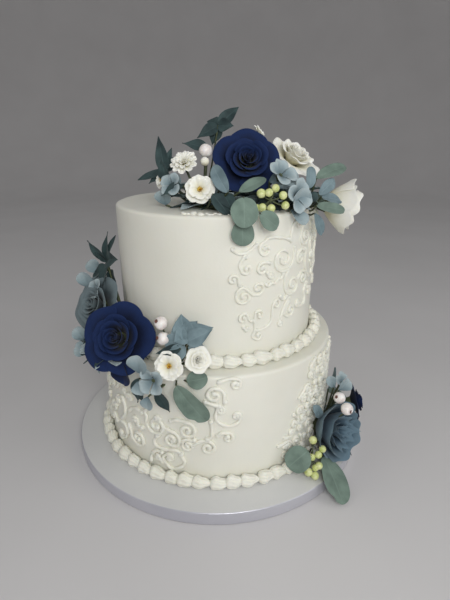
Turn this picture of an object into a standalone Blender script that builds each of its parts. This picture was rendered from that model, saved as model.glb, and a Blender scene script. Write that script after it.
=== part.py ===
"""Tiered wedding cake on its round board, with piped shell borders and three groups of flowers.

The unit is the metre, +Z is up, and the origin is the middle of the board's underside. The front of
the cake faces -Y. A heading is an angle round +Z, 0 at the front and growing towards +X; a tilt is the
angle above the horizon. Every flower, leaf and berry is placed by a heading, a distance from the axis
and a height, each worked out from the tier or the board that carries it.
"""

import math

import bmesh
import bpy
from mathutils import Matrix, Vector

# Driving dimensions
GAP = 0.0003

BOARD_RADIUS = 0.1524
BOARD_THICKNESS = 0.0127
BOARD_EDGE_ROUND = 0.0010

BOTTOM_RADIUS = 0.1175
BOTTOM_LEVEL = 0.1230
TOP_RADIUS = 0.0960
TOP_LEVEL = 0.2510
TIER_EDGE_ROUND = 0.0030
ROUND_STEPS = 2
TURNED_SIDES = 48

BOTTOM_SHELLS = 53
TOP_SHELLS = 46
SHELL_WIDTH = 0.0125
SHELL_HEIGHT = 0.0120

NAVY_ROSE_RADIUS = 0.0295
WHITE_ROSE_RADIUS = 0.0215
BERRY_RADIUS = 0.0060
LEAF_THICKNESS = 0.0012
PETAL_THICKNESS = 0.0014
KNOT_RADIUS = 0.0030
BLADE_THICKNESS = 0.0016
ROSE_SIDES = 20
BLOSSOM_SIDES = 15
BERRY_SIDES = 6
STALK_KNOT_RADIUS = 0.0022
STALK_RADIUS = 0.0008
SMALL_BERRY_SIDES = 5
BLADE_DROOP = 18.0

# One shell of a border: how far along its length each section lies, and how large the section is
SHELL_SECTIONS = ((0.08, 0.72), (0.42, 1.00), (0.90, 0.60))
# The shell's section: across its width and up its height, from the inner foot round to the outer foot
SHELL_OUTLINE = ((-0.50, 0.0), (-0.22, 0.95), (0.30, 0.80), (0.50, 0.0))

# Rows of petals from the back of a bloom to its heart: distance from the axis and height, both as
# shares of the bloom's radius, the depth of the lobes, and how far the row is turned, in lobes
ROSE_ROWS = (
    (0.45, -0.42, 0.00, 0.0),
    (1.00, 0.00, 0.10, 0.0),
    (0.76, 0.04, 0.06, 0.5),
    (0.68, 0.26, 0.08, 0.5),
    (0.46, 0.22, 0.05, 0.2),
    (0.36, 0.40, 0.08, 0.2),
)
PEONY_ROWS = (
    (0.55, -0.50, 0.00, 0.0),
    (0.98, -0.12, 0.06, 0.0),
    (0.95, 0.22, 0.10, 0.5),
    (0.74, 0.24, 0.05, 0.5),
    (0.70, 0.52, 0.10, 0.1),
    (0.44, 0.44, 0.06, 0.1),
    (0.34, 0.58, 0.12, 0.6),
)
BLOSSOM_ROWS = (
    (0.45, -0.20, 0.00, 0.0),
    (1.00, 0.10, 0.12, 0.0),
    (0.42, 0.00, 0.00, 0.0),
    (0.22, 0.16, 0.00, 0.0),
)
RUFFLED_ROWS = (
    (0.45, -0.26, 0.00, 0.0),
    (1.00, 0.08, 0.12, 0.0),
    (0.72, 0.12, 0.06, 0.5),
    (0.60, 0.40, 0.14, 0.5),
    (0.24, 0.26, 0.00, 0.0),
)
FLORET_ROWS = (
    (0.45, -0.12, 0.00, 0.0),
    (1.00, 0.10, 0.20, 0.0),
    (0.30, 0.06, 0.00, 0.0),
)
BERRY_ROWS = (
    (0.70, -0.72, 0.0, 0.0),
    (1.00, 0.00, 0.0, 0.0),
    (0.74, 0.68, 0.0, 0.0),
    (0.28, 0.98, 0.0, 0.0),
    (0.26, 1.14, 0.0, 0.0),
)
# A small berry above its stalk: radius and height from its middle, as shares of its radius
SMALL_BERRY_PROFILE = ((0.72, -0.68), (1.00, 0.00), (0.72, 0.70), (0.20, 0.98))
BUD_ROWS = (
    (0.60, -0.70, 0.0, 0.0),
    (1.00, 0.10, 0.0, 0.0),
    (0.50, 0.95, 0.0, 0.0),
)

# Outlines of leaves and petals: how fast one opens at its stalk and closes at its tip, as the powers of
# the distances from either end. Equal halves make an ellipse, and over one makes a drawn-out point.
LONG_LEAF = (0.60, 0.50)
ROUND_LEAF = (0.50, 0.50)
POINTED_LEAF = (0.65, 1.25)
PETAL = (0.75, 0.45)
LEAF_SECTIONS = 5

FINISHES = {
    "icing": ((0.80, 0.79, 0.73), 0.45, 0.0),
    "board_foil": ((0.62, 0.61, 0.66), 0.35, 0.3),
    "navy_petal": ((0.010, 0.025, 0.140), 0.75, 0.0),
    "slate_petal": ((0.070, 0.100, 0.130), 0.80, 0.0),
    "dusty_petal": ((0.230, 0.330, 0.370), 0.80, 0.0),
    "white_petal": ((0.860, 0.850, 0.760), 0.70, 0.0),
    "eucalyptus": ((0.180, 0.260, 0.210), 0.65, 0.0),
    "teal_leaf": ((0.060, 0.110, 0.120), 0.70, 0.0),
    "white_berry": ((0.850, 0.800, 0.780), 0.40, 0.0),
    "green_berry": ((0.640, 0.700, 0.330), 0.40, 0.0),
}


def clear_scene():
    for old in list(bpy.data.objects):
        bpy.data.objects.remove(old, do_unlink=True)


def finish_material(slot):
    """The Principled material of a slot, made the first time it is asked for."""
    if slot in bpy.data.materials:
        return bpy.data.materials[slot]
    colour, roughness, metallic = FINISHES[slot]
    material = bpy.data.materials.new(slot)
    material.use_nodes = True
    shader = material.node_tree.nodes["Principled BSDF"]
    shader.inputs["Base Color"].default_value = (*colour, 1.0)
    shader.inputs["Roughness"].default_value = roughness
    shader.inputs["Metallic"].default_value = metallic
    material.diffuse_color = (*colour, 1.0)
    return material


def add_object(name, mesh_builder, slot, place):
    """An object from a bmesh built about the origin, put where the matrix says."""
    mesh = bpy.data.meshes.new(name)
    bmesh.ops.recalc_face_normals(mesh_builder, faces=mesh_builder.faces)
    mesh_builder.to_mesh(mesh)
    mesh_builder.free()
    mesh.materials.append(finish_material(slot))
    mesh.shade_smooth()
    mesh.set_sharp_from_angle(angle=math.radians(50))
    made = bpy.data.objects.new(name, mesh)
    bpy.context.scene.collection.objects.link(made)
    made.matrix_world = place
    return made


def direction(heading, tilt):
    """The unit vector of a heading and a tilt, in degrees."""
    turn, rise = math.radians(heading), math.radians(tilt)
    return Vector((math.sin(turn) * math.cos(rise), -math.cos(turn) * math.cos(rise), math.sin(rise)))


def spot(heading, distance, height):
    """A point at a heading in degrees, a distance from the cake's axis and a height."""
    return direction(heading, 0) * distance + Vector((0, 0, height))


def facing(at, heading, tilt):
    """The matrix that puts a piece built round +Z at a point, with +Z along a heading and tilt."""
    axis = direction(heading, tilt)
    return Matrix.Translation(at) @ axis.to_track_quat("Z", "Y").to_matrix().to_4x4()


def along(at, tip, face):
    """The matrix that puts a leaf built along +Y, face up along +Z, with its tip and its face each
    towards a (heading, tilt)."""
    forward = direction(*tip)
    side = forward.cross(direction(*face)).normalized()
    up = side.cross(forward)
    return Matrix.Translation(at) @ Matrix((side, forward, up)).transposed().to_4x4()


def skin_rings(builder, rings):
    """Joins rings of equally many points by bands of quads, and closes each end."""
    rows = [[builder.verts.new(point) for point in ring] for ring in rings]
    count = len(rows[0])
    for lower, upper in zip(rows, rows[1:]):
        for i in range(count):
            j = (i + 1) % count
            builder.faces.new((lower[i], lower[j], upper[j], upper[i]))
    builder.faces.new(list(reversed(rows[0])))
    builder.faces.new(rows[-1])


def turned(name, profile, slot):
    """A solid turned round +Z from a profile of (radius, height) points, foot first."""
    builder = bmesh.new()
    angles = [2 * math.pi * i / TURNED_SIDES for i in range(TURNED_SIDES)]
    rings = [[(r * math.cos(a), r * math.sin(a), z) for a in angles] for r, z in profile]
    skin_rings(builder, rings)
    return add_object(name, builder, slot, Matrix.Identity(4))


def rounded_corner(radius, level, rounding, upper):
    """Profile points of a rounded outer edge, at the top of a turned solid or at its foot."""
    points = []
    for step in range(ROUND_STEPS + 1):
        angle = math.pi / 2 * step / ROUND_STEPS
        sunk = rounding * (1 - math.sin(angle)) if upper else -rounding * (1 - math.cos(angle))
        drawn_in = rounding * (1 - math.cos(angle)) if upper else rounding * (1 - math.sin(angle))
        points.append((radius - drawn_in, level - sunk))
    return points


def board():
    profile = rounded_corner(BOARD_RADIUS, 0.0, BOARD_EDGE_ROUND, upper=False)
    profile += rounded_corner(BOARD_RADIUS, BOARD_THICKNESS, BOARD_EDGE_ROUND, upper=True)
    return turned("cake_board", profile, "board_foil")


def tier(name, radius, foot, level):
    profile = [(radius, foot)] + rounded_corner(radius, level, TIER_EDGE_ROUND, upper=True)
    return turned(name, profile, "icing")


def shell_border(name, tier_radius, foot, count):
    """A ring of piped shells round the foot of a tier, each swelling and then drawn out to a tail."""
    builder = bmesh.new()
    middle = tier_radius + GAP + SHELL_WIDTH / 2
    rings = []
    for shell in range(count):
        for share, size in SHELL_SECTIONS:
            heading = 360.0 * (shell + share) / count
            ring = []
            for across, up in SHELL_OUTLINE:
                outward = across if across < 0 else across * size
                ring.append(spot(heading, middle + outward * SHELL_WIDTH, foot + up * size * SHELL_HEIGHT))
            rings.append(ring)
    rows = [[builder.verts.new(point) for point in ring] for ring in rings]
    rows.append(rows[0])
    sides = len(SHELL_OUTLINE)
    for first, second in zip(rows, rows[1:]):
        for i in range(sides):
            j = (i + 1) % sides
            builder.faces.new((first[i], first[j], second[j], second[i]))
    return add_object(name, builder, "icing", Matrix.Identity(4))


def bloom(name, at, look, radius, rows, slot, lobes=5, sides=ROSE_SIDES):
    """A flower of lobed petal rows round its own axis, which looks along a heading and tilt."""
    builder = bmesh.new()
    rings = []
    for share, height, depth, turn in rows:
        ring = []
        for i in range(sides):
            angle = 2 * math.pi * i / sides
            bulge = abs(math.sin(lobes * angle / 2 + math.pi * turn))
            reach = share * radius * (1 - depth * (1 - bulge))
            ring.append((reach * math.cos(angle), reach * math.sin(angle), height * radius))
        rings.append(ring)
    skin_rings(builder, rings)
    return add_object(name, builder, slot, facing(at, *look))


def leaf(name, at, tip, face, length, width, outline, slot, droop=0.0, cup=0.15,
         thickness=LEAF_THICKNESS):
    """A leaf with a ridge along its middle, from its stalk. Its tip and its face each look along a
    (heading, tilt), and droop is the angle in degrees by which it has bent back at its end."""
    builder = bmesh.new()
    blade(builder, length, width, outline, droop, cup, thickness)
    return add_object(name, builder, slot, along(at, tip, face))


def petal(name, middle, tip, face, length, width, slot, droop=0.0, cup=0.35):
    """A loose rounded petal, placed by its middle."""
    foot = middle - direction(*tip) * (length / 2)
    return leaf(name, foot, tip, face, length, width, PETAL, slot, droop, cup, PETAL_THICKNESS)


def blade(builder, length, width, outline, droop, cup, thickness):
    """Builds a leaf's solid along +Y from sections across it, bent down along an arc."""
    opening, closing = outline
    widest = opening / (opening + closing)
    peak = widest**opening * (1 - widest) ** closing
    bend = math.radians(droop)

    def station(share, side, height):
        angle = bend * share
        if abs(bend) < 1e-6:
            centre = Vector((0, length * share, 0))
        else:
            centre = Vector((0, math.sin(angle), math.cos(angle) - 1)) * (length / bend)
        return centre + Vector((side, 0, 0)) + Vector((0, math.sin(angle), math.cos(angle))) * height

    rings = []
    for number in range(1, LEAF_SECTIONS + 1):
        share = (1 - math.cos(math.pi * number / (LEAF_SECTIONS + 1))) / 2
        half = share**opening * (1 - share) ** closing / peak * width / 2
        lift = cup * half
        rings.append([
            station(share, -half, lift),
            station(share, 0, -thickness / 2),
            station(share, half, lift),
            station(share, 0, thickness / 2),
        ])
    rows = [[builder.verts.new(point) for point in ring] for ring in rings]
    for lower, upper in zip(rows, rows[1:]):
        for i in range(4):
            j = (i + 1) % 4
            builder.faces.new((lower[i], lower[j], upper[j], upper[i]))
    for row, share in ((rows[0], 0.0), (rows[-1], 1.0)):
        end = builder.verts.new(station(share, 0, 0))
        for i in range(4):
            builder.faces.new((row[i], row[(i + 1) % 4], end))


def unite(whole, tool):
    """Adds a hidden tool's shape to a whole."""
    tool.hide_render = True
    tool.display_type = "WIRE"
    joined = whole.modifiers.new(tool.name, "BOOLEAN")
    joined.operation = "UNION"
    joined.solver = "EXACT"
    joined.object = tool


def spray(name, at, face, blades, slot):
    """Pointed leaves that spring from one stalk: each is (heading, tilt, length, width). A knot at their
    common foot is the object, and the blades are united with it."""
    whole = bloom(name, at, face, KNOT_RADIUS, BUD_ROWS, slot, sides=BERRY_SIDES)
    for number, (heading, tilt, length, width) in enumerate(blades):
        unite(whole, leaf(f"{name}_blade_{number}", at, (heading, tilt), face, length, width,
                          POINTED_LEAF, slot, droop=BLADE_DROOP, thickness=BLADE_THICKNESS))
    return whole


def berry_bunch(name, at, berries, radius, slot):
    """A bunch of small berries, each on a stalk from the knot in the bunch's middle, as one solid."""
    whole = bloom(name, at, (0, 0), STALK_KNOT_RADIUS, BUD_ROWS, slot, sides=BERRY_SIDES)
    for number, middle in enumerate(berries):
        reach = Vector(middle).length
        profile = [(STALK_RADIUS, 0.0), (STALK_RADIUS, reach - 0.9 * radius)]
        profile += [(radius * across, reach + radius * up) for across, up in SMALL_BERRY_PROFILE]
        builder = bmesh.new()
        angles = [2 * math.pi * i / SMALL_BERRY_SIDES for i in range(SMALL_BERRY_SIDES)]
        skin_rings(builder, [[(r * math.cos(a), r * math.sin(a), z) for a in angles] for r, z in profile])
        turned_to = Vector(middle).to_track_quat("Z", "Y").to_matrix().to_4x4()
        unite(whole, add_object(f"{name}_{number}", builder, slot, Matrix.Translation(at) @ turned_to))
    return whole


def berry(name, at, look):
    """A white berry with its small crown, which looks along a heading and tilt."""
    return bloom(name, at, look, BERRY_RADIUS, BERRY_ROWS, "white_berry", sides=BERRY_SIDES)


def on_top(heading, distance, height):
    """A point measured from the top tier's upper edge: outwards from its side, and up from its top."""
    return spot(heading, TOP_RADIUS + distance, TOP_LEVEL + height)


def on_ledge(heading, distance, height):
    """A point measured from the bottom tier's upper edge: outwards from its side, and up from its top."""
    return spot(heading, BOTTOM_RADIUS + distance, BOTTOM_LEVEL + height)


def on_board(heading, distance, height):
    """A point measured from the foot of the bottom tier: outwards from its side, and up from the board."""
    return spot(heading, BOTTOM_RADIUS + distance, BOARD_THICKNESS + height)


def top_flowers():
    """The group on the top tier: a navy rose with two white ones, blossoms, berries and leaves."""
    bloom("top_navy_rose", on_top(30, -0.0435, 0.039), (3, 30), NAVY_ROSE_RADIUS, ROSE_ROWS, "navy_petal")
    bloom("top_white_rose", on_top(78, -0.0225, 0.040), (80, 50), WHITE_ROSE_RADIUS, ROSE_ROWS,
          "white_petal")
    bloom("top_side_white_rose", on_top(80.5, 0.0225, -0.004), (98, -8), WHITE_ROSE_RADIUS, PEONY_ROWS,
          "white_petal")
    bloom("top_open_blossom", on_top(-10.5, -0.025, 0.017), (0, 20), 0.0130, BLOSSOM_ROWS, "white_petal",
          sides=BLOSSOM_SIDES)
    bloom("top_ruffled_blossom", on_top(-28.5, -0.039, 0.0365), (-15, 45), 0.0125, RUFFLED_ROWS,
          "white_petal", sides=BLOSSOM_SIDES)
    bloom("top_side_blossom", on_top(-50, -0.0335, 0.022), (-55, 15), 0.0080, BLOSSOM_ROWS,
          "white_petal", sides=BLOSSOM_SIDES)
    bloom("top_rear_blossom", on_top(82.5, -0.0565, 0.061), (75, 40), 0.0078, BLOSSOM_ROWS,
          "white_petal", sides=BLOSSOM_SIDES)
    berry("top_white_berry", on_top(-11.5, -0.050, 0.046), (170, 10))
    berry_bunch("top_green_berries", on_top(25.5, 0.0015, 0.011), TOP_BUNCH, 0.0033, "green_berry")

    petal("top_blue_petal_upper", on_top(37.5, -0.0075, 0.026), (75, 15), (20, 45), 0.026, 0.018,
          "dusty_petal", droop=30)
    petal("top_blue_petal_lower", on_top(41.5, 0.004, 0.010), (30, 60), (35, 0), 0.022, 0.018,
          "dusty_petal")
    petal("top_blue_petal_edge", on_top(40, 0.0075, -0.003), (60, -30), (35, 20), 0.018, 0.011,
          "dusty_petal", droop=20)
    petal("top_blue_petal_left", on_top(-42, -0.0285, 0.008), (-20, 75), (-20, 0), 0.014, 0.015,
          "dusty_petal")
    petal("top_blue_petal_dark", on_top(-38, -0.039, 0.022), (0, 70), (-20, 0), 0.014, 0.012,
          "dusty_petal")

    leaf("top_eucalyptus_front", on_top(12.5, -0.002, 0.0145), (5, -57), (8, 32), 0.026, 0.020,
         ROUND_LEAF, "eucalyptus", droop=12)
    leaf("top_eucalyptus_under", on_top(11.5, 0.003, -0.001), (0, -84), (11, 5), 0.023, 0.017,
         LONG_LEAF, "eucalyptus")
    leaf("top_eucalyptus_short", on_top(18, 0.008, 0.0025), (97, -37), (22, 20), 0.020, 0.014,
         ROUND_LEAF, "eucalyptus")
    leaf("top_eucalyptus_inner", on_top(11, -0.0085, 0.016), (116, 23), (0, 50), 0.028, 0.010,
         LONG_LEAF, "eucalyptus")
    leaf("top_eucalyptus_right", on_top(57, 0.003, 0.0235), (118, 19), (10, 50), 0.036, 0.012,
         LONG_LEAF, "eucalyptus")
    leaf("top_eucalyptus_upright", on_top(50, 0.0035, 0.017), (150, 78), (20, 10), 0.018, 0.009,
         LONG_LEAF, "dusty_petal")
    leaf("top_blue_leaf", on_top(54.5, 0.0075, 0.0115), (123, 29), (20, 30), 0.024, 0.009,
         LONG_LEAF, "dusty_petal")
    leaf("top_blue_leaf_low", on_top(54.5, 0.0105, 0.009), (118, -6), (20, 40), 0.025, 0.009,
         LONG_LEAF, "dusty_petal")
    leaf("top_teal_leaf", on_top(50.5, 0.010, 0.003), (110, -8), (20, 30), 0.031, 0.009,
         LONG_LEAF, "eucalyptus")
    leaf("top_hanging_leaf", on_top(51, 0.008, -0.003), (109, -58), (30, 10), 0.023, 0.009,
         LONG_LEAF, "dusty_petal")
    leaf("top_dusty_leaf", on_top(7, -0.0135, 0.0155), (-139, 42), (-20, 20), 0.030, 0.011,
         LONG_LEAF, "dusty_petal")
    spray("top_left_spray", on_top(-58.5, -0.0425, 0.027), (-20, 30), TOP_LEFT_BLADES, "teal_leaf")
    spray("top_rear_spray", on_top(14, -0.090, 0.067), (0, 20), TOP_REAR_BLADES, "teal_leaf")


def left_flowers():
    """The group that spills over the ledge at the left: a navy and a slate rose with small white flowers."""
    bloom("left_navy_rose", on_ledge(-43.5, 0.0025, 0.0215), (-14, 30), NAVY_ROSE_RADIUS, ROSE_ROWS,
          "navy_petal")
    bloom("left_slate_rose", on_ledge(-71, 0.006, 0.033), (-50, 32), 0.0240, ROSE_ROWS, "slate_petal")
    bloom("left_open_blossom", on_ledge(-18, 0.0085, 0.012), (-12, 20), 0.0130, BLOSSOM_ROWS,
          "white_petal", sides=BLOSSOM_SIDES)
    bloom("left_small_rose", on_ledge(-7.5, 0.0, 0.015), (18, 25), 0.0115, ROSE_ROWS, "white_petal")
    berry("left_upper_berry", on_ledge(-25, -0.007, 0.041), (-40, 35))
    berry("left_lower_berry", on_ledge(-23, -0.0035, 0.029), (-60, 20))

    petal("left_blue_petal_upper", on_ledge(-80, 0.0125, 0.054), (-60, 65), (-15, 10), 0.020, 0.015,
          "dusty_petal")
    petal("left_blue_petal_crown", on_ledge(-85.5, 0.006, 0.064), (-80, 50), (-10, 15), 0.016, 0.014,
          "dusty_petal")
    petal("left_blue_petal_side", on_ledge(-69, 0.0225, 0.009), (-90, 60), (-20, 25), 0.017, 0.014,
          "dusty_petal")
    petal("left_blue_petal_outer", on_ledge(-67, 0.023, -0.005), (-95, 5), (-15, 30), 0.018, 0.014,
          "dusty_petal")
    petal("left_pale_petal", on_ledge(-28.5, 0.0165, 0.012), (-10, 75), (-25, -5), 0.020, 0.018,
          "dusty_petal")
    petal("left_pale_petal_low", on_ledge(-29, 0.016, -0.010), (-28, -60), (-28, 20), 0.014, 0.013,
          "dusty_petal")
    petal("left_pale_petal_foot", on_ledge(-26.5, 0.0145, -0.024), (-28, -75), (-28, 10), 0.013, 0.012,
          "dusty_petal")

    leaf("left_dark_leaf", on_ledge(-32.5, 0.013, -0.010), (110, -76), (-30, 5), 0.022, 0.010,
         POINTED_LEAF, "teal_leaf")
    leaf("left_dark_leaf_right", on_ledge(-24.5, 0.008, -0.0145), (75, -62), (-22, 5), 0.024, 0.011,
         POINTED_LEAF, "teal_leaf")
    leaf("left_eucalyptus_long", on_ledge(-15.5, 0.0085, -0.0035), (85, -60), (-12, 0), 0.046, 0.020,
         LONG_LEAF, "eucalyptus")
    leaf("left_eucalyptus_short", on_ledge(-12.5, 0.0035, -0.0040), (84, 14), (-8, 10), 0.019, 0.015,
         ROUND_LEAF, "eucalyptus")
    spray("left_teal_spray", on_ledge(-81.5, -0.0085, 0.070), (-50, 20), LEFT_BLADES, "teal_leaf")
    spray("left_dusty_spray", on_ledge(-15, -0.008, 0.031), (-5, 25), LEFT_DUSTY_BLADES, "dusty_petal")


def right_flowers():
    """The group that stands on the board at the right: a slate peony and a navy rose behind it."""
    bloom("right_slate_peony", on_board(55, 0.024, 0.0310), (38, 14), 0.0255, PEONY_ROWS, "slate_petal")
    bloom("right_navy_rose", on_board(74, 0.0315, 0.0345), (85, 12), 0.0200, ROSE_ROWS, "navy_petal")
    berry("right_inner_berry", on_board(55, 0.0225, 0.0645), (-50, 30))
    berry("right_outer_berry", on_board(51, 0.034, 0.0625), (25, 5))
    berry_bunch("right_green_berries", on_board(39, 0.0205, 0.0165), RIGHT_BUNCH, 0.0036, "green_berry")
    petal("right_blue_petal_upper", on_board(58, 0.024, 0.0745), (80, 50), (20, 10), 0.015, 0.012,
          "dusty_petal")
    petal("right_blue_petal_inner", on_board(55, 0.013, 0.0785), (-60, 65), (10, 10), 0.016, 0.009,
          "dusty_petal")
    leaf("right_eucalyptus_upper", on_board(37.5, 0.019, 0.0275), (-75, -35), (30, 45), 0.027, 0.023,
         ROUND_LEAF, "eucalyptus")
    leaf("right_eucalyptus_lower", on_board(46, 0.022, 0.0115), (16, -25), (50, 60), 0.046, 0.024,
         LONG_LEAF, "eucalyptus", droop=8)


# Berries of the bunches, as (right, forward, up) from the bunch's middle, about its stalks
TOP_BUNCH = (
    (-0.0074, 0.000, 0.0050),
    (-0.0017, -0.002, 0.0058),
    (0.0036, 0.001, 0.0088),
    (0.0094, -0.001, 0.0036),
    (0.0118, 0.001, -0.0043),
    (0.0004, -0.002, -0.0061),
    (-0.0062, 0.001, -0.0060),
    (-0.0104, 0.002, -0.0064),
)
RIGHT_BUNCH = (
    (0.0010, 0.008, 0.0150),
    (0.0095, 0.004, 0.0080),
    (0.0050, 0.000, 0.0050),
    (-0.0010, -0.001, 0.0030),
    (-0.0055, -0.002, -0.0010),
    (0.0055, -0.003, -0.0050),
    (0.0020, -0.004, -0.0065),
    (-0.0045, -0.006, -0.0095),
    (0.0015, -0.008, -0.0120),
)

# Leaves of the sprays: heading, tilt, length and width
TOP_LEFT_BLADES = (
    (-135, 75, 0.0330, 0.0085),
    (128, 73, 0.0230, 0.0060),
    (-85, -7, 0.0260, 0.0060),
    (-69, -25, 0.0180, 0.0070),
    (116, 43, 0.0240, 0.0080),
)
TOP_REAR_BLADES = (
    (104, 40, 0.0270, 0.0085),
    (64, -1, 0.0150, 0.0090),
    (-65, -24, 0.0230, 0.0080),
    (-125, 20, 0.0140, 0.0090),
    (-47, -61, 0.0180, 0.0090),
)
LEFT_BLADES = (
    (-168, 82, 0.0300, 0.0080),
    (121, 74, 0.0280, 0.0070),
    (-78, 46, 0.0280, 0.0080),
    (-45, 32, 0.0170, 0.0070),
    (30, 19, 0.0260, 0.0120),
)
LEFT_DUSTY_BLADES = (
    (-138, 77, 0.0190, 0.0120),
    (105, 47, 0.0170, 0.0100),
    (90, 15, 0.0260, 0.0110),
    (87, -8, 0.0170, 0.0090),
    (-40, -5, 0.0120, 0.0100),
)


def main():
    clear_scene()
    board()
    tier("bottom_tier", BOTTOM_RADIUS, BOARD_THICKNESS + GAP, BOTTOM_LEVEL)
    tier("top_tier", TOP_RADIUS, BOTTOM_LEVEL + GAP, TOP_LEVEL)
    shell_border("bottom_shell_border", BOTTOM_RADIUS, BOARD_THICKNESS + GAP, BOTTOM_SHELLS)
    shell_border("top_shell_border", TOP_RADIUS, BOTTOM_LEVEL + GAP, TOP_SHELLS)
    top_flowers()
    left_flowers()
    right_flowers()


main()
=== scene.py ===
"""The looks of a two-tier wedding cake: icing, piping, board, and its flowers, leaves and berries.

Each sub-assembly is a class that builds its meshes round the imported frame. Lengths are in metres and
angles in degrees. A heading is an angle round +Z, 0 at the cake's front and growing towards +X, and a
tilt is the angle above the horizon, as in the frame's own source.
"""

import logging
import math
from dataclasses import dataclass, field
from enum import Enum
from typing import Callable, Iterable, Sequence

import bpy
import numpy as np
from mathutils import Matrix, Vector


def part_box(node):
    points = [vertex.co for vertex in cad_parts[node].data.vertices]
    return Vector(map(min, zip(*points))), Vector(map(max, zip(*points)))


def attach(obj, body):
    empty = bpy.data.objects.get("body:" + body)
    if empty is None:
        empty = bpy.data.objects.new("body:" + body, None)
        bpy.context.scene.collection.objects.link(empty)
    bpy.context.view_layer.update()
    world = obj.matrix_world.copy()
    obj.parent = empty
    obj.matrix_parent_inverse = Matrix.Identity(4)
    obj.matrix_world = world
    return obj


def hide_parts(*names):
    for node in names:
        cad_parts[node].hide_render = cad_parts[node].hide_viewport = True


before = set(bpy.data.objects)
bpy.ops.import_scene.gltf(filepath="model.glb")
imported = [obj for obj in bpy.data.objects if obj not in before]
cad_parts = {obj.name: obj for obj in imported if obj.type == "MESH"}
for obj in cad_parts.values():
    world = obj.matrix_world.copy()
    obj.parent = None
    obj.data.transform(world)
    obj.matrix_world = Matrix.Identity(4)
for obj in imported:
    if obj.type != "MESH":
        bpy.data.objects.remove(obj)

LOG = logging.getLogger("wedding_cake")
MM = 0.001
SEED = 2417

Look = tuple[float, float]
Colour = tuple[float, float, float]


# ---------------------------------------------------------------- colours and finishes

def linear(red: int, green: int, blue: int) -> Colour:
    """Turns a colour of 0 to 255 display values into linear light.

    Args:
        red: The display red.
        green: The display green.
        blue: The display blue.

    Returns:
        The same colour in linear light.
    """
    def one(value: int) -> float:
        """One channel in linear light."""
        share = value / 255
        return share / 12.92 if share <= 0.04045 else ((share + 0.055) / 1.055) ** 2.4

    return one(red), one(green), one(blue)


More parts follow.
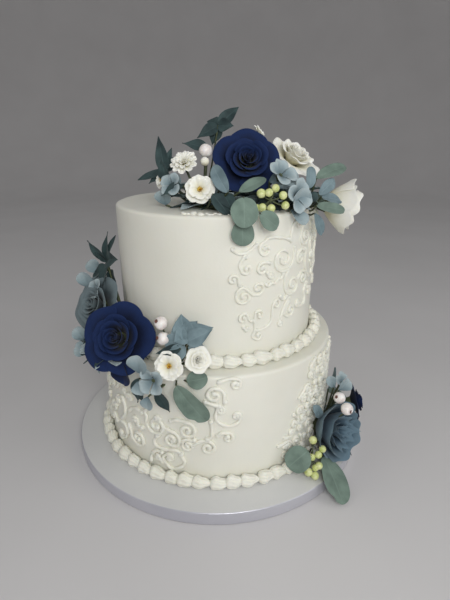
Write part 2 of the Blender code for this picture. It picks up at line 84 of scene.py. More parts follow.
class Weave:
    """A small helper that wires nodes in a material's tree."""

    def __init__(self, name: str) -> None:
        """Starts a material with its Principled shader.

        Args:
            name: The material's name.
        """
        self.material = bpy.data.materials.new(name)
        self.material.use_nodes = True
        self.tree = self.material.node_tree
        self.shader = self.tree.nodes["Principled BSDF"]

    def node(self, kind: str, **settings: object) -> bpy.types.Node:
        """Adds a node and sets its attributes.

        Args:
            kind: The node's type name.
            settings: Attributes to set on it.

        Returns:
            The node.
        """
        made = self.tree.nodes.new(kind)
        for key, value in settings.items():
            setattr(made, key, value)
        return made

    def link(self, source: bpy.types.NodeSocket, target: bpy.types.NodeSocket) -> None:
        """Joins two sockets."""
        self.tree.links.new(source, target)

    def noise(self, space: str, scale: float, detail: float = 3.0,
              stretch: tuple[float, float, float] = (1.0, 1.0, 1.0)) -> bpy.types.NodeSocket:
        """A noise pattern.

        Args:
            space: Object or UV.
            scale: The pattern's scale.
            detail: Octaves of finer noise.
            stretch: The pattern's scale along each axis.

        Returns:
            The noise's value, from 0 to 1.
        """
        where = self.node("ShaderNodeTexCoord")
        mapping = self.node("ShaderNodeMapping")
        mapping.inputs["Scale"].default_value = stretch
        pattern = self.node("ShaderNodeTexNoise")
        pattern.inputs["Scale"].default_value = scale
        pattern.inputs["Detail"].default_value = detail
        self.link(where.outputs[space], mapping.inputs["Vector"])
        self.link(mapping.outputs["Vector"], pattern.inputs["Vector"])
        return pattern.outputs["Fac"]

    def ramp(self, value: bpy.types.NodeSocket,
             stops: Sequence[tuple[float, Colour]]) -> bpy.types.NodeSocket:
        """A colour for each value.

        Args:
            value: What drives the ramp.
            stops: Places from 0 to 1, each with its colour.

        Returns:
            The colour.
        """
        band = self.node("ShaderNodeValToRGB")
        elements = band.color_ramp.elements
        while len(elements) < len(stops):
            elements.new(0.5)
        for element, (place, colour) in zip(elements, stops):
            element.position = place
            element.color = (*colour, 1.0)
        self.link(value, band.inputs["Fac"])
        return band.outputs["Color"]

    def mix(self, share: bpy.types.NodeSocket | float, first: bpy.types.NodeSocket,
            second: bpy.types.NodeSocket, blend: str = "MIX") -> bpy.types.NodeSocket:
        """Mixes two colours.

        Args:
            share: How much of the second shows.
            first: The first colour.
            second: The second colour.
            blend: Blender's name of the way they mix.

        Returns:
            The mixed colour.
        """
        blended = self.node("ShaderNodeMix", data_type="RGBA", blend_type=blend)
        if isinstance(share, float):
            blended.inputs[0].default_value = share
        else:
            self.link(share, blended.inputs[0])
        self.link(first, blended.inputs[6])
        self.link(second, blended.inputs[7])
        return blended.outputs[2]

    def sum(self, first: bpy.types.NodeSocket, second: bpy.types.NodeSocket,
            gain: float) -> bpy.types.NodeSocket:
        """Adds the second value, times a gain, to the first.

        Args:
            first: The first value.
            second: The second value.
            gain: What the second value is multiplied by.

        Returns:
            The sum.
        """
        added = self.node("ShaderNodeMath", operation="MULTIPLY_ADD")
        self.link(second, added.inputs[0])
        added.inputs[1].default_value = gain
        self.link(first, added.inputs[2])
        return added.outputs[0]

    def bump(self, height: bpy.types.NodeSocket, strength: float, distance: float) -> None:
        """Roughens the surface by a height pattern.

        Args:
            height: The height.
            strength: How strong the relief is.
            distance: How deep the relief is, in metres.
        """
        made = self.node("ShaderNodeBump")
        made.inputs["Strength"].default_value = strength
        made.inputs["Distance"].default_value = distance
        self.link(height, made.inputs["Height"])
        self.link(made.outputs["Normal"], self.shader.inputs["Normal"])

    def uv(self, axis: str) -> bpy.types.NodeSocket:
        """One axis, X or Y, of the piece's own UV map.

        Args:
            axis: The axis.

        Returns:
            The axis as a value.
        """
        where = self.node("ShaderNodeTexCoord")
        parts = self.node("ShaderNodeSeparateXYZ")
        self.link(where.outputs["UV"], parts.inputs[0])
        return parts.outputs[axis]

    def set(self, **values: float) -> None:
        """Sets the shader's own sockets, named with underscores for spaces."""
        for key, value in values.items():
            self.shader.inputs[key.replace("_", " ")].default_value = value

    def soften(self, weight: float, scale: float) -> None:
        """Lets a little light through just under the surface.

        Args:
            weight: The share of light that passes.
            scale: How far the light goes, in metres.
        """
        self.shader.inputs["Subsurface Weight"].default_value = weight
        self.shader.inputs["Subsurface Scale"].default_value = scale
        self.shader.inputs["Subsurface Radius"].default_value = (1.0, 0.8, 0.6)


@dataclass(frozen=True)
class Icing:
    """Whipped white icing, smoothed with a scraper or piped."""

    name: str
    bright: Colour
    dull: Colour
    streaks: float
    roughness: float = 0.42

    def material(self) -> bpy.types.Material:
        """The icing's material.

        Returns:
            The material.
        """
        weave = Weave(self.name)
        broad = weave.noise("Object", 14.0, 4.0)
        colour = weave.ramp(broad, ((0.3, self.dull), (0.68, self.bright)))
        weave.link(colour, weave.shader.inputs["Base Color"])
        drags = weave.noise("Object", 60.0, 3.0, (1.0, 1.0, 0.22))
        fine = weave.noise("Object", 420.0, 2.0)
        weave.bump(weave.sum(drags, fine, 0.25), self.streaks, 0.0006)
        weave.set(Roughness=self.roughness, IOR=1.42)
        weave.shader.inputs["Specular IOR Level"].default_value = 0.35
        weave.soften(0.18, 0.002)
        return weave.material


@dataclass(frozen=True)
class Foil:
    """Embossed foil paper drawn over the board."""

    name: str
    bright: Colour
    dull: Colour
    metallic: float
    roughness: float

    def material(self) -> bpy.types.Material:
        """The foil's material.

        Returns:
            The material.
        """
        weave = Weave(self.name)
        broad = weave.noise("Object", 9.0, 4.0)
        weave.link(weave.ramp(broad, ((0.3, self.dull), (0.7, self.bright))),
                   weave.shader.inputs["Base Color"])
        grain = weave.noise("Object", 900.0, 2.0)
        dents = weave.noise("Object", 35.0, 3.0)
        weave.bump(weave.sum(grain, dents, 1.4), 0.16, 0.0005)
        weave.set(Roughness=self.roughness, Metallic=self.metallic)
        return weave.material


@dataclass(frozen=True)
class Petal:
    """A soft cloth-like petal, with painted shade at its foot and a painted highlight along its rim."""

    name: str
    # deep is painted shade at the petal's foot, where the petals overlap; rim is a painted highlight along
    # its edge.
    deep: Colour
    main: Colour
    rim: Colour
    roughness: float = 0.72
    sheen: float = 0.12
    veins: float = 0.25

    def material(self) -> bpy.types.Material:
        """The petal's material.

        Returns:
            The material.
        """
        weave = Weave(self.name)
        # Painted shade darkens each petal towards its foot and a painted highlight pales its rim, with random
        # blotches of tone on top.
        along = weave.uv("Y")
        blotch = weave.noise("Object", 120.0, 3.0)
        shade = weave.sum(along, blotch, 0.3)
        colour = weave.ramp(shade, ((0.25, self.deep), (0.7, self.main), (1.0, self.rim)))
        weave.link(colour, weave.shader.inputs["Base Color"])
        ribs = weave.noise("UV", 16.0, 3.0, (2.6, 0.22, 1.0))
        cloth = weave.noise("Object", 1500.0, 1.0)
        weave.bump(weave.sum(ribs, cloth, 0.12), self.veins, 0.0008)
        weave.set(Roughness=self.roughness)
        weave.shader.inputs["Sheen Weight"].default_value = self.sheen
        weave.shader.inputs["Specular IOR Level"].default_value = 0.25
        weave.soften(0.12, 0.0015)
        return weave.material


@dataclass(frozen=True)
class Foliage:
    """A matt cloth leaf with a paler midrib and side veins."""

    name: str
    dark: Colour
    main: Colour
    rib: Colour
    roughness: float = 0.66

    def material(self) -> bpy.types.Material:
        """The leaf's material.

        Returns:
            The material.
        """
        weave = Weave(self.name)
        blotch = weave.noise("Object", 90.0, 3.0)
        body = weave.ramp(blotch, ((0.3, self.dark), (0.66, self.main)))
        across = weave.uv("X")
        centred = weave.node("ShaderNodeMath", operation="SUBTRACT")
        centred.inputs[1].default_value = 0.5
        weave.link(across, centred.inputs[0])
        away = weave.node("ShaderNodeMath", operation="ABSOLUTE")
        weave.link(centred.outputs[0], away.inputs[0])
        midrib = weave.ramp(away.outputs[0], ((0.0, (1, 1, 1)), (0.035, (0, 0, 0))))
        rib = weave.node("ShaderNodeRGB")
        rib.outputs[0].default_value = (*self.rib, 1.0)
        share = weave.node("ShaderNodeMath", operation="MULTIPLY")
        share.inputs[1].default_value = 0.45
        weave.link(midrib, share.inputs[0])
        weave.link(weave.mix(share.outputs[0], body, rib.outputs[0]), weave.shader.inputs["Base Color"])
        slanted = weave.sum(weave.uv("Y"), away.outputs[0], -0.7)
        waves = weave.node("ShaderNodeMath", operation="MULTIPLY")
        waves.inputs[1].default_value = 70.0
        weave.link(slanted, waves.inputs[0])
        veins = weave.node("ShaderNodeMath", operation="SINE")
        weave.link(waves.outputs[0], veins.inputs[0])
        cloth = weave.noise("Object", 1400.0, 1.0)
        weave.bump(weave.sum(cloth, veins.outputs[0], 0.3), 0.16, 0.0005)
        weave.set(Roughness=self.roughness)
        weave.shader.inputs["Specular IOR Level"].default_value = 0.28
        weave.shader.inputs["Sheen Weight"].default_value = 0.08
        return weave.material


@dataclass(frozen=True)
class Skin:
    """The skin of a berry, a stalk, a stamen or a crown: one hue with soft blotches."""

    name: str
    dark: Colour
    main: Colour
    roughness: float = 0.4
    grain: float = 160.0
    glow: float = 0.0

    def material(self) -> bpy.types.Material:
        """The skin's material.

        Returns:
            The material.
        """
        weave = Weave(self.name)
        blotch = weave.noise("Object", self.grain, 3.0)
        weave.link(weave.ramp(blotch, ((0.32, self.dark), (0.62, self.main))),
                   weave.shader.inputs["Base Color"])
        weave.bump(weave.noise("Object", self.grain * 5, 2.0), 0.1, 0.0003)
        weave.set(Roughness=self.roughness)
        if self.glow:
            weave.soften(self.glow, 0.0015)
        return weave.material


class Finish(Enum):
    """The finishes that the pieces are dressed in."""

    ICING = Icing("smooth_icing", linear(236, 235, 224), linear(229, 228, 216), 0.55)
    PIPING = Icing("piped_icing", linear(240, 239, 228), linear(233, 232, 218), 0.16, 0.36)
    BOARD_TOP = Foil("board_paper", linear(214, 214, 212), linear(206, 206, 205), 0.0, 0.42)
    BOARD_EDGE = Foil("board_rim_foil", linear(208, 208, 214), linear(192, 192, 200), 0.45, 0.34)
    # In each petal finish the first colour is painted shade at the foot, the second the petal's own colour
    # and the last a painted highlight along the rim.
    NAVY = Petal("navy_petals", linear(3, 8, 19), linear(9, 22, 52), linear(18, 38, 80), 0.8, 0.06)
    SLATE = Petal("slate_petals", linear(24, 36, 46), linear(60, 82, 98), linear(102, 126, 140))
    STONE = Petal("stone_petals", linear(22, 30, 34), linear(66, 78, 82), linear(108, 122, 126))
    DUSTY = Petal("dusty_petals", linear(102, 122, 130), linear(142, 160, 165), linear(172, 187, 190),
                  veins=0.7)
    WHITE = Petal("ivory_petals", linear(214, 208, 176), linear(240, 238, 222), linear(246, 245, 236),
                  0.62, 0.05, 0.2)
    EUCALYPTUS = Foliage("eucalyptus_leaves", linear(98, 116, 106), linear(120, 140, 128),
                         linear(134, 154, 142))
    TEAL = Foliage("teal_leaves", linear(34, 50, 52), linear(60, 80, 80), linear(84, 106, 106))
    BLUE_LEAF = Foliage("dusty_blue_leaves", linear(100, 120, 126), linear(128, 148, 154),
                        linear(148, 168, 172))
    WHITE_BERRY = Skin("white_berry_skin", linear(226, 216, 212), linear(246, 242, 238), 0.32, 220.0, 0.15)
    CROWN = Skin("berry_crowns", linear(70, 40, 34), linear(112, 74, 62), 0.6, 400.0)
    GREEN_BERRY = Skin("green_berry_skin", linear(186, 198, 116), linear(222, 226, 168), 0.34, 260.0, 0.15)
    STALK = Skin("stalks", linear(46, 54, 36), linear(74, 82, 52), 0.6, 300.0)
    STAMEN = Skin("stamens", linear(206, 150, 36), linear(238, 204, 72), 0.55, 500.0)
    POLLEN = Skin("stamen_tips", linear(110, 64, 20), linear(168, 108, 36), 0.6, 500.0)

    def dress(self) -> bpy.types.Material:
        """The finish's material, made the first time that a piece asks for it."""
        return bpy.data.materials.get(self.value.name) or self.value.material()


# ---------------------------------------------------------------- bench tools

def clear_selection() -> None:
    """Leaves nothing selected."""
    bpy.ops.object.select_all(action="DESELECT")


def hold(piece: bpy.types.Object) -> bpy.types.Object:
    """Makes a piece the only one selected, and the active one.

    Args:
        piece: The piece.

    Returns:
        The same piece.
    """
    clear_selection()
    piece.select_set(True)
    bpy.context.view_layer.objects.active = piece
    return piece


def joined(pieces: Sequence[bpy.types.Object], name: str) -> bpy.types.Object:
    """Joins pieces into the first of them.

    Args:
        pieces: The pieces.
        name: The name of the whole.

    Returns:
        The whole.
    """
    hold(pieces[0])
    for piece in pieces[1:]:
        piece.select_set(True)
    if len(pieces) > 1:
        bpy.ops.object.join()
    whole = bpy.context.active_object
    whole.name = name
    whole.data.name = name
    return whole


def apply_all(piece: bpy.types.Object) -> None:
    """Applies a piece's modifiers from first to last.

    Args:
        piece: The piece.
    """
    hold(piece)
    for modifier in list(piece.modifiers):
        bpy.ops.object.modifier_apply(modifier=modifier.name)


def thicken(piece: bpy.types.Object, thickness: float, smoothing: int = 1) -> bpy.types.Object:
    """Gives a sheet its thickness and rounds it.

    Args:
        piece: The sheet.
        thickness: The sheet's thickness.
        smoothing: Levels of subdivision.

    Returns:
        The piece.
    """
    wall = piece.modifiers.new("wall", "SOLIDIFY")
    wall.thickness = thickness
    wall.offset = 0.0
    if smoothing:
        rounding = piece.modifiers.new("rounding", "SUBSURF")
        rounding.levels = smoothing
        rounding.render_levels = smoothing
    apply_all(piece)
    return piece


def direction(heading: float, tilt: float) -> Vector:
    """The unit vector of a heading and a tilt."""
    turn, rise = math.radians(heading), math.radians(tilt)
    return Vector((math.sin(turn) * math.cos(rise), -math.cos(turn) * math.cos(rise), math.sin(rise)))


def facing(look: Look) -> Matrix:
    """The turn that points +Z along a heading and tilt."""
    return direction(*look).to_track_quat("Z", "Y").to_matrix().to_4x4()


def along(tip: Look, face: Look) -> Matrix:
    """The turn that points a leaf's tip, built along +Y, and its face, built along +Z.

    Args:
        tip: Heading and tilt of the tip.
        face: Heading and tilt of the face.

    Returns:
        The turn.
    """
    forward = direction(*tip)
    side = forward.cross(direction(*face)).normalized()
    up = side.cross(forward)
    return Matrix((side, forward, up)).transposed().to_4x4()


def place(piece: bpy.types.Object, matrix: Matrix) -> bpy.types.Object:
    """Puts a piece where a matrix says and applies its place to its mesh.

    Args:
        piece: The piece.
        matrix: The turn and shift.

    Returns:
        The same piece.
    """
    hold(piece)
    piece.matrix_world = matrix
    bpy.ops.object.transform_apply(location=True, rotation=True, scale=True)
    return piece


def points_of(piece: bpy.types.Object) -> np.ndarray:
    """A mesh piece's points as an array.

    Args:
        piece: The piece.

    Returns:
        The points, a row for each.
    """
    flat = np.zeros(len(piece.data.vertices) * 3, np.float32)
    piece.data.vertices.foreach_get("co", flat)
    return flat.reshape(-1, 3).astype(float)


def set_points(piece: bpy.types.Object, points: np.ndarray) -> None:
    """Moves a mesh piece's points."""
    piece.data.vertices.foreach_set("co", points.astype(np.float32).ravel())
    piece.data.update()


def box_middle(node: str) -> Vector:
    """The middle of a frame node's box."""
    low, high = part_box(node)
    return (low + high) / 2


def centre_on(piece: bpy.types.Object, node: str, fit: bool = False, grow: float = 1.0) -> Vector:
    """Moves a piece's mesh so that its box has the same middle as a frame node's.

    Args:
        piece: The piece, built round its own foot at the origin.
        node: The frame node.
        fit: Whether the piece also grows or shrinks to the node's size.
        grow: How much larger than the node it is to be.

    Returns:
        Where the piece's foot has come to.
    """
    points = points_of(piece)
    low, high = points.min(0), points.max(0)
    size = 1.0
    if fit:
        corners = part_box(node)
        size = min(1.5, max(0.85,
                            grow * (corners[1] - corners[0]).length / float(np.linalg.norm(high - low))))
        LOG.info("%s is scaled by %.2f to fit %s", piece.name, size, node)
    shift = np.array(box_middle(node)) - size * (low + high) / 2
    set_points(piece, points * size + shift)
    return Vector(shift)


class Knot(Enum):
    """Where the stalks of each group are pushed into the icing."""

    TOP_LEFT = (-0.012, -0.052, 0.25)
    TOP_RIGHT = (0.046, -0.046, 0.25)
    TOP_EDGE = (0.078, -0.04, 0.25)
    LEFT = (-0.073, -0.073, 0.123)
    LEFT_FRONT = (-0.036, -0.098, 0.123)
    RIGHT = (0.108, -0.05, 0.03)
    RIGHT_LOW = (0.092, -0.082, 0.022)

    @staticmethod
    def nearest(point: Vector) -> Vector:
        """The place of the knot nearest to a point."""
        return min((Vector(knot.value) for knot in Knot), key=lambda place: (place - point).length)


def around(heading: float, radius: float, height: float) -> Vector:
    """The point at a heading, a distance from the cake's axis and a height."""
    turn = math.radians(heading)
    return Vector((radius * math.sin(turn), -radius * math.cos(turn), height))


REACH = (0.1524, 0.1524, 0.3337)
"""Half the width, half the depth and the height that every piece stays within."""


def keep_inside(piece: bpy.types.Object) -> None:
    """Shifts a piece that reaches past the cake's overall size back inside it.

    Args:
        piece: The piece.
    """
    points = points_of(piece)
    lowest = np.array((-REACH[0], -REACH[1], 0.0)) - points.min(axis=0)
    highest = np.array(REACH) - points.max(axis=0)
    shift = np.maximum(lowest, 0) + np.minimum(highest, 0)
    if np.abs(shift).max() > 1e-5:
        set_points(piece, points + shift)
        LOG.info("%s: shifted by %s mm to stay inside", piece.name, np.round(shift * 1000, 2).tolist())


def deliver(piece: bpy.types.Object, nodes: Iterable[str] = (),
            smooth_angle: float = 60.0) -> None:
    """Hands a finished piece over: smooth, riding on the cake, and standing for its frame nodes.

    Args:
        piece: The finished piece.
        nodes: The frame nodes that it stands for.
        smooth_angle: Edges sharper than this stay crisp.
    """
    keep_inside(piece)
    hold(piece)
    bpy.ops.object.shade_smooth_by_angle(angle=math.radians(smooth_angle))
    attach(piece, "root")
    for node in nodes:
        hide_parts(node)
    LOG.info("%s: %d faces, stands for %s", piece.name, len(piece.data.polygons),
             ", ".join(nodes) or "itself")


Surface = Callable[[np.ndarray, np.ndarray], np.ndarray]


def sheet(name: str, columns: int, rows: int, surface: Surface, finish: Finish,
          even_ends: bool = False) -> bpy.types.Object:
    """A grid that is shaped into a sheet by a formula.

    Args:
        name: The sheet's name.
        columns: Cells across.
        rows: Cells along.
        surface: Gives the points for arrays of u from -1 to 1 across and v from 0 to 1 along.
        finish: The sheet's finish.
        even_ends: Whether rows crowd towards both ends, to round them.

    Returns:
        The sheet.
    """
    clear_selection()
    bpy.ops.mesh.primitive_grid_add(x_subdivisions=columns, y_subdivisions=rows, size=2)
    piece = bpy.context.active_object
    piece.name = name
    flat = points_of(piece)
    across, length = flat[:, 0], (flat[:, 1] + 1) / 2
    if even_ends:
        length = (1 - np.cos(math.pi * (0.02 + 0.96 * length))) / 2
    set_points(piece, surface(across, length))
    piece.data.materials.append(finish.dress())
    return piece


# ---------------------------------------------------------------- flowers

@dataclass(frozen=True)
class PetalRow:
    """One row of petals round a bloom's axis.

    Attributes:
        count: Petals in the row.
        foot: Distance of a petal's foot from the axis.
        length: Length of a petal.
        start: Angle between the axis and the petal at its foot.
        opening: The same angle at its rim.
        span: Half the angle that one petal takes round the axis.
        curl: Angle by which the rim rolls back.
        rise: Height of the foot.
        rounding: How far the corners of the rim draw back, as a share of the length.
        ruffle: Depth of the waves along the rim.
        waves: Waves along one rim.
        cup: How far a petal's sides stand up from its middle.
        swirl: How far one side of a petal lies outside the other.
        point: How round the rim is: low values give it a point.
    """

    count: int
    foot: float
    length: float
    start: float
    opening: float
    span: float
    curl: float = 0.0
    rise: float = 0.0
    rounding: float = 0.22
    ruffle: float = 0.0
    waves: float = 2.0
    cup: float = 0.0
    swirl: float = 0.0012
    point: float = 2.4


@dataclass
class Bloom:
    """A flower made of rows of petals.

    Attributes:
        name: The piece's name.
        node: The frame node that it stands for.
        look: Heading and tilt that it faces.
        rows: The rows of petals, from the heart outwards.
        finish: The petals' finish.
        slot: The record's material slot; not used.
        seed: Varies the petals.
        columns: Cells across a petal.
        lines: Cells along a petal.
        thickness: Thickness of a petal.
        loose: How much petals vary in length and place.
        stamens: Radius of the stamens, or 0 for none.
        roll: Angle by which the whole bloom is turned about its axis.
        at: Where the back of a filler bloom is, or how far a named one stands off its node.
        grow: How much larger than its frame node it is.
    """

    name: str
    node: str
    look: Look
    rows: Sequence[PetalRow]
    finish: Finish
    slot: str
    seed: int = 0
    columns: int = 10
    lines: int = 9
    thickness: float = 0.00045
    loose: float = 0.06
    stamens: float = 0.0
    roll: float = 0.0
    at: Vector = field(default_factory=Vector)
    grow: float = 1.0

    def petal(self, row: PetalRow, turn: float, rng: np.random.Generator) -> bpy.types.Object:
        """One petal of a row, in the bloom's own frame.

        Args:
            row: The petal's row.
            turn: The petal's place round the axis, in radians.
            rng: Varies the petal.

        Returns:
            The petal.
        """
        length = row.length * (1 + self.loose * rng.uniform(-1, 1))
        opening = math.radians(row.opening + 60 * self.loose * rng.uniform(-1, 1))
        start, curl = math.radians(row.start), math.radians(row.curl * rng.uniform(0.7, 1.3))
        lean = rng.uniform(-1, 1) * self.loose * 0.6
        phase = rng.uniform(0, 2 * math.pi)
        stations = np.linspace(0, 1, 40)
        tilt = start + (opening - start) * (1 - (1 - stations) ** 2)
        tilt = tilt + curl * np.clip((stations - 0.68) / 0.32, 0, 1) ** 2
        outwards = np.concatenate([[0], np.cumsum(np.sin(tilt[1:]))]) / (len(stations) - 1)
        upwards = np.concatenate([[0], np.cumsum(np.cos(tilt[1:]))]) / (len(stations) - 1)

        def surface(u: np.ndarray, v: np.ndarray) -> np.ndarray:
            """The petal's points.

            Args:
                u: Places across, from -1 to 1.
                v: Places along, from 0 to 1.

            Returns:
                The points.
            """
            share = v * (1 - row.rounding * np.abs(u) ** row.point + lean * u)
            wave = row.ruffle * np.sin(row.waves * math.pi * u + phase) * share**3
            radius = row.foot + length * np.interp(share, stations, outwards)
            height = row.rise + length * np.interp(share, stations, upwards)
            radius = radius + row.swirl * u * share + wave * 0.5 - row.cup * 0.4 * u**2 * share
            height = height + row.cup * u**2 * share + wave
            angle = turn + math.radians(row.span) * u * (0.72 + 0.28 * share)
            return np.stack([radius * np.cos(angle), radius * np.sin(angle), height], axis=1)

        return sheet("petal", self.columns, self.lines, surface, self.finish)

    def centre(self, rng: np.random.Generator) -> list[bpy.types.Object]:
        """The stamens round the middle of an open bloom.

        Args:
            rng: The seeded random numbers.

        Returns:
            The stamens.
        """
        made = []
        clear_selection()
        bpy.ops.mesh.primitive_uv_sphere_add(segments=10, ring_count=6, radius=self.stamens * 0.42,
                                             location=(0, 0, self.stamens * 0.45))
        made.append(bpy.context.active_object)
        made[0].data.materials.append(Finish.POLLEN.dress())
        for number in range(22):
            turn = number * math.radians(137.5)
            reach = self.stamens * math.sqrt((number + 1) / 22) * rng.uniform(0.8, 1.1)
            tip = Vector((reach * math.cos(turn), reach * math.sin(turn),
                          self.stamens * rng.uniform(0.7, 1.15)))
            bpy.ops.mesh.primitive_uv_sphere_add(segments=6, ring_count=4, radius=self.stamens * 0.17,
                                                 location=tip)
            grain = bpy.context.active_object
            grain.data.materials.append((Finish.POLLEN if number % 5 == 0 else Finish.STAMEN).dress())
            bpy.ops.mesh.primitive_cone_add(vertices=5, radius1=self.stamens * 0.07,
                                            radius2=self.stamens * 0.05, depth=tip.length,
                                            location=tip / 2, rotation=tip.to_track_quat("Z", "Y").to_euler())
            thread = bpy.context.active_object
            thread.data.materials.append(Finish.STAMEN.dress())
            made += [grain, thread]
        return made

    def calyx(self) -> bpy.types.Object:
        """The green cup behind the petals.

        Returns:
            The cup.
        """
        reach = max(row.foot + row.length for row in self.rows)
        clear_selection()
        bpy.ops.mesh.primitive_cone_add(vertices=12, radius1=reach * 0.05, radius2=reach * 0.24,
                                        depth=reach * 0.42, location=(0, 0, self.foot_level() - reach * 0.14))
        cup = bpy.context.active_object
        cup.data.materials.append(Finish.STALK.dress())
        bpy.ops.object.mode_set(mode="EDIT")
        bpy.ops.mesh.select_all(action="SELECT")
        bpy.ops.mesh.subdivide(number_cuts=1, smoothness=0.6)
        bpy.ops.object.mode_set(mode="OBJECT")
        return cup

    def foot_level(self) -> float:
        """Height of the lowest petal's foot."""
        return min(row.rise for row in self.rows)

    def build(self) -> bpy.types.Object:
        """Makes the bloom and hands it over.

        Returns:
            The finished piece.
        """
        rng = np.random.default_rng(SEED + self.seed)
        petals = []
        start = rng.uniform(0, 2 * math.pi)
        for number, row in enumerate(self.rows):
            start += math.pi / row.count + 0.35 * number
            for copy in range(row.count):
                turn = start + 2 * math.pi * copy / row.count + rng.uniform(-1, 1) * self.loose
                petals.append(self.petal(row, turn, rng))
        whole = thicken(joined(petals, self.name), self.thickness)
        extras = [self.calyx()]
        if self.stamens:
            extras += self.centre(rng)
        whole = joined([whole, *extras], self.name)
        place(whole, facing(self.look) @ Matrix.Rotation(math.radians(self.roll), 4, "Z"))
        if self.node:
            foot = centre_on(whole, self.node, fit=True, grow=self.grow) + self.at
            place(whole, Matrix.Translation(self.at))
        else:
            foot = self.at
            place(whole, Matrix.Translation(foot))
        behind = foot - direction(*self.look) * 0.15 * max(row.length for row in self.rows)
        whole = joined([whole, stem(behind, 0.0011, 0.0)], self.name)
        deliver(whole, [self.node] if self.node else [])
        return whole


def rose_rows(radius: float, ruffle: float = 0.0, outer: float = 80.0) -> list[PetalRow]:
    """The rows of a cut rose: a wound heart and petals that open wider towards the outside.

    Args:
        radius: Radius of the open rose.
        ruffle: Depth of the waves along the rims, as a share of the radius.
        outer: How far the outer petals open.

    Returns:
        The rows.
    """
    r = radius
    wave = ruffle * r
    side = 0.06 * r
    return [
        PetalRow(2, 0.05 * r, 0.42 * r, 0, 3, 120, 8, 0.2 * r, 0.1, wave * 0.2, 2, 0, side),
        PetalRow(3, 0.11 * r, 0.45 * r, 1, 9, 80, 20, 0.16 * r, 0.12, wave * 0.4, 2, 0, side),
        PetalRow(3, 0.18 * r, 0.51 * r, 4, 18, 74, 34, 0.11 * r, 0.14, wave * 0.6, 2, 0, side, 2.0),
        PetalRow(4, 0.23 * r, 0.57 * r, 12, 29, 62, 46, 0.04 * r, 0.17, wave * 0.8, 2, 0, side, 1.8),
        PetalRow(5, 0.24 * r, 0.7 * r, 24, 48, 55, 54, -0.04 * r, 0.2, wave, 2.5, 0, side, 1.7),
        PetalRow(5, 0.22 * r, 1.04 * r, 44, outer, 53, 40, -0.14 * r, 0.25, wave * 1.2, 2.5, 0, side, 1.45),
    ]


def peony_rows(radius: float) -> list[PetalRow]:
    """The rows of a ruffled, half-open peony whose outer petals make a deep cup.

    Args:
        radius: The radius in metres.

    Returns:
        The rows.
    """
    r = radius
    return [
        PetalRow(3, 0.08 * r, 0.78 * r, 4, 16, 64, 22, 0.08 * r, 0.12, 0.13 * r, 3, 0, 0.1 * r),
        PetalRow(4, 0.22 * r, 0.92 * r, 14, 28, 52, 14, 0.02 * r, 0.14, 0.12 * r, 3, 0.04 * r, 0.08 * r),
        PetalRow(4, 0.27 * r, 1.14 * r, 42, 20, 60, 8, -0.08 * r, 0.17, 0.06 * r, 2.5, 0.08 * r, 0.05 * r),
        PetalRow(5, 0.24 * r, 1.2 * r, 60, 30, 58, 20, -0.16 * r, 0.2, 0.07 * r, 2.5, 0.06 * r, 0.05 * r),
    ]


def blossom_rows(radius: float) -> list[PetalRow]:
    """The two rows of a small open blossom.

    Args:
        radius: The radius in metres.

    Returns:
        The rows.
    """
    r = radius
    return [
        PetalRow(5, 0.08 * r, 0.78 * r, 48, 62, 45, 14, 0.06 * r, 0.2, 0.06 * r, 3, 0.1 * r, 0.05 * r),
        PetalRow(6, 0.08 * r, 0.98 * r, 66, 78, 43, 16, 0.00 * r, 0.2, 0.06 * r, 3, 0.08 * r, 0.05 * r),
    ]


def ruffled_rows(radius: float) -> list[PetalRow]:
    """The rows of a small double blossom with many narrow petals.

    Args:
        radius: The radius in metres.

    Returns:
        The rows.
    """
    r = radius
    return [
        PetalRow(5, 0.06 * r, 0.44 * r, 4, 26, 50, 30, 0.2 * r, 0.26, 0.06 * r, 3, 0, 0.08 * r),
        PetalRow(7, 0.1 * r, 0.6 * r, 12, 46, 34, 30, 0.14 * r, 0.3, 0.05 * r, 3, 0.1 * r, 0.05 * r),
        PetalRow(9, 0.12 * r, 0.78 * r, 26, 66, 27, 24, 0.06 * r, 0.32, 0.05 * r, 3, 0.12 * r, 0.04 * r),
        PetalRow(10, 0.12 * r, 0.96 * r, 48, 82, 25, 20, -0.02 * r, 0.32, 0.05 * r, 3, 0.12 * r, 0.04 * r),
    ]


def floret_rows(radius: float) -> list[PetalRow]:
    """The four broad petals of one hydrangea floret."""
    r = radius
    return [PetalRow(4, 0.05 * r, 1.0 * r, 52, 72, 50, 14, 0, 0.24, 0.05 * r, 2, 0.14 * r, 0.04 * r, 2.2)]


# ---------------------------------------------------------------- leaves and loose petals

class Outline(Enum):
    """Shapes of a leaf: how fast it opens at its stalk and closes at its tip."""

    LONG = (0.6, 0.5)
    ROUND = (0.5, 0.5)
    POINTED = (0.65, 1.25)
    PETAL = (0.75, 0.45)


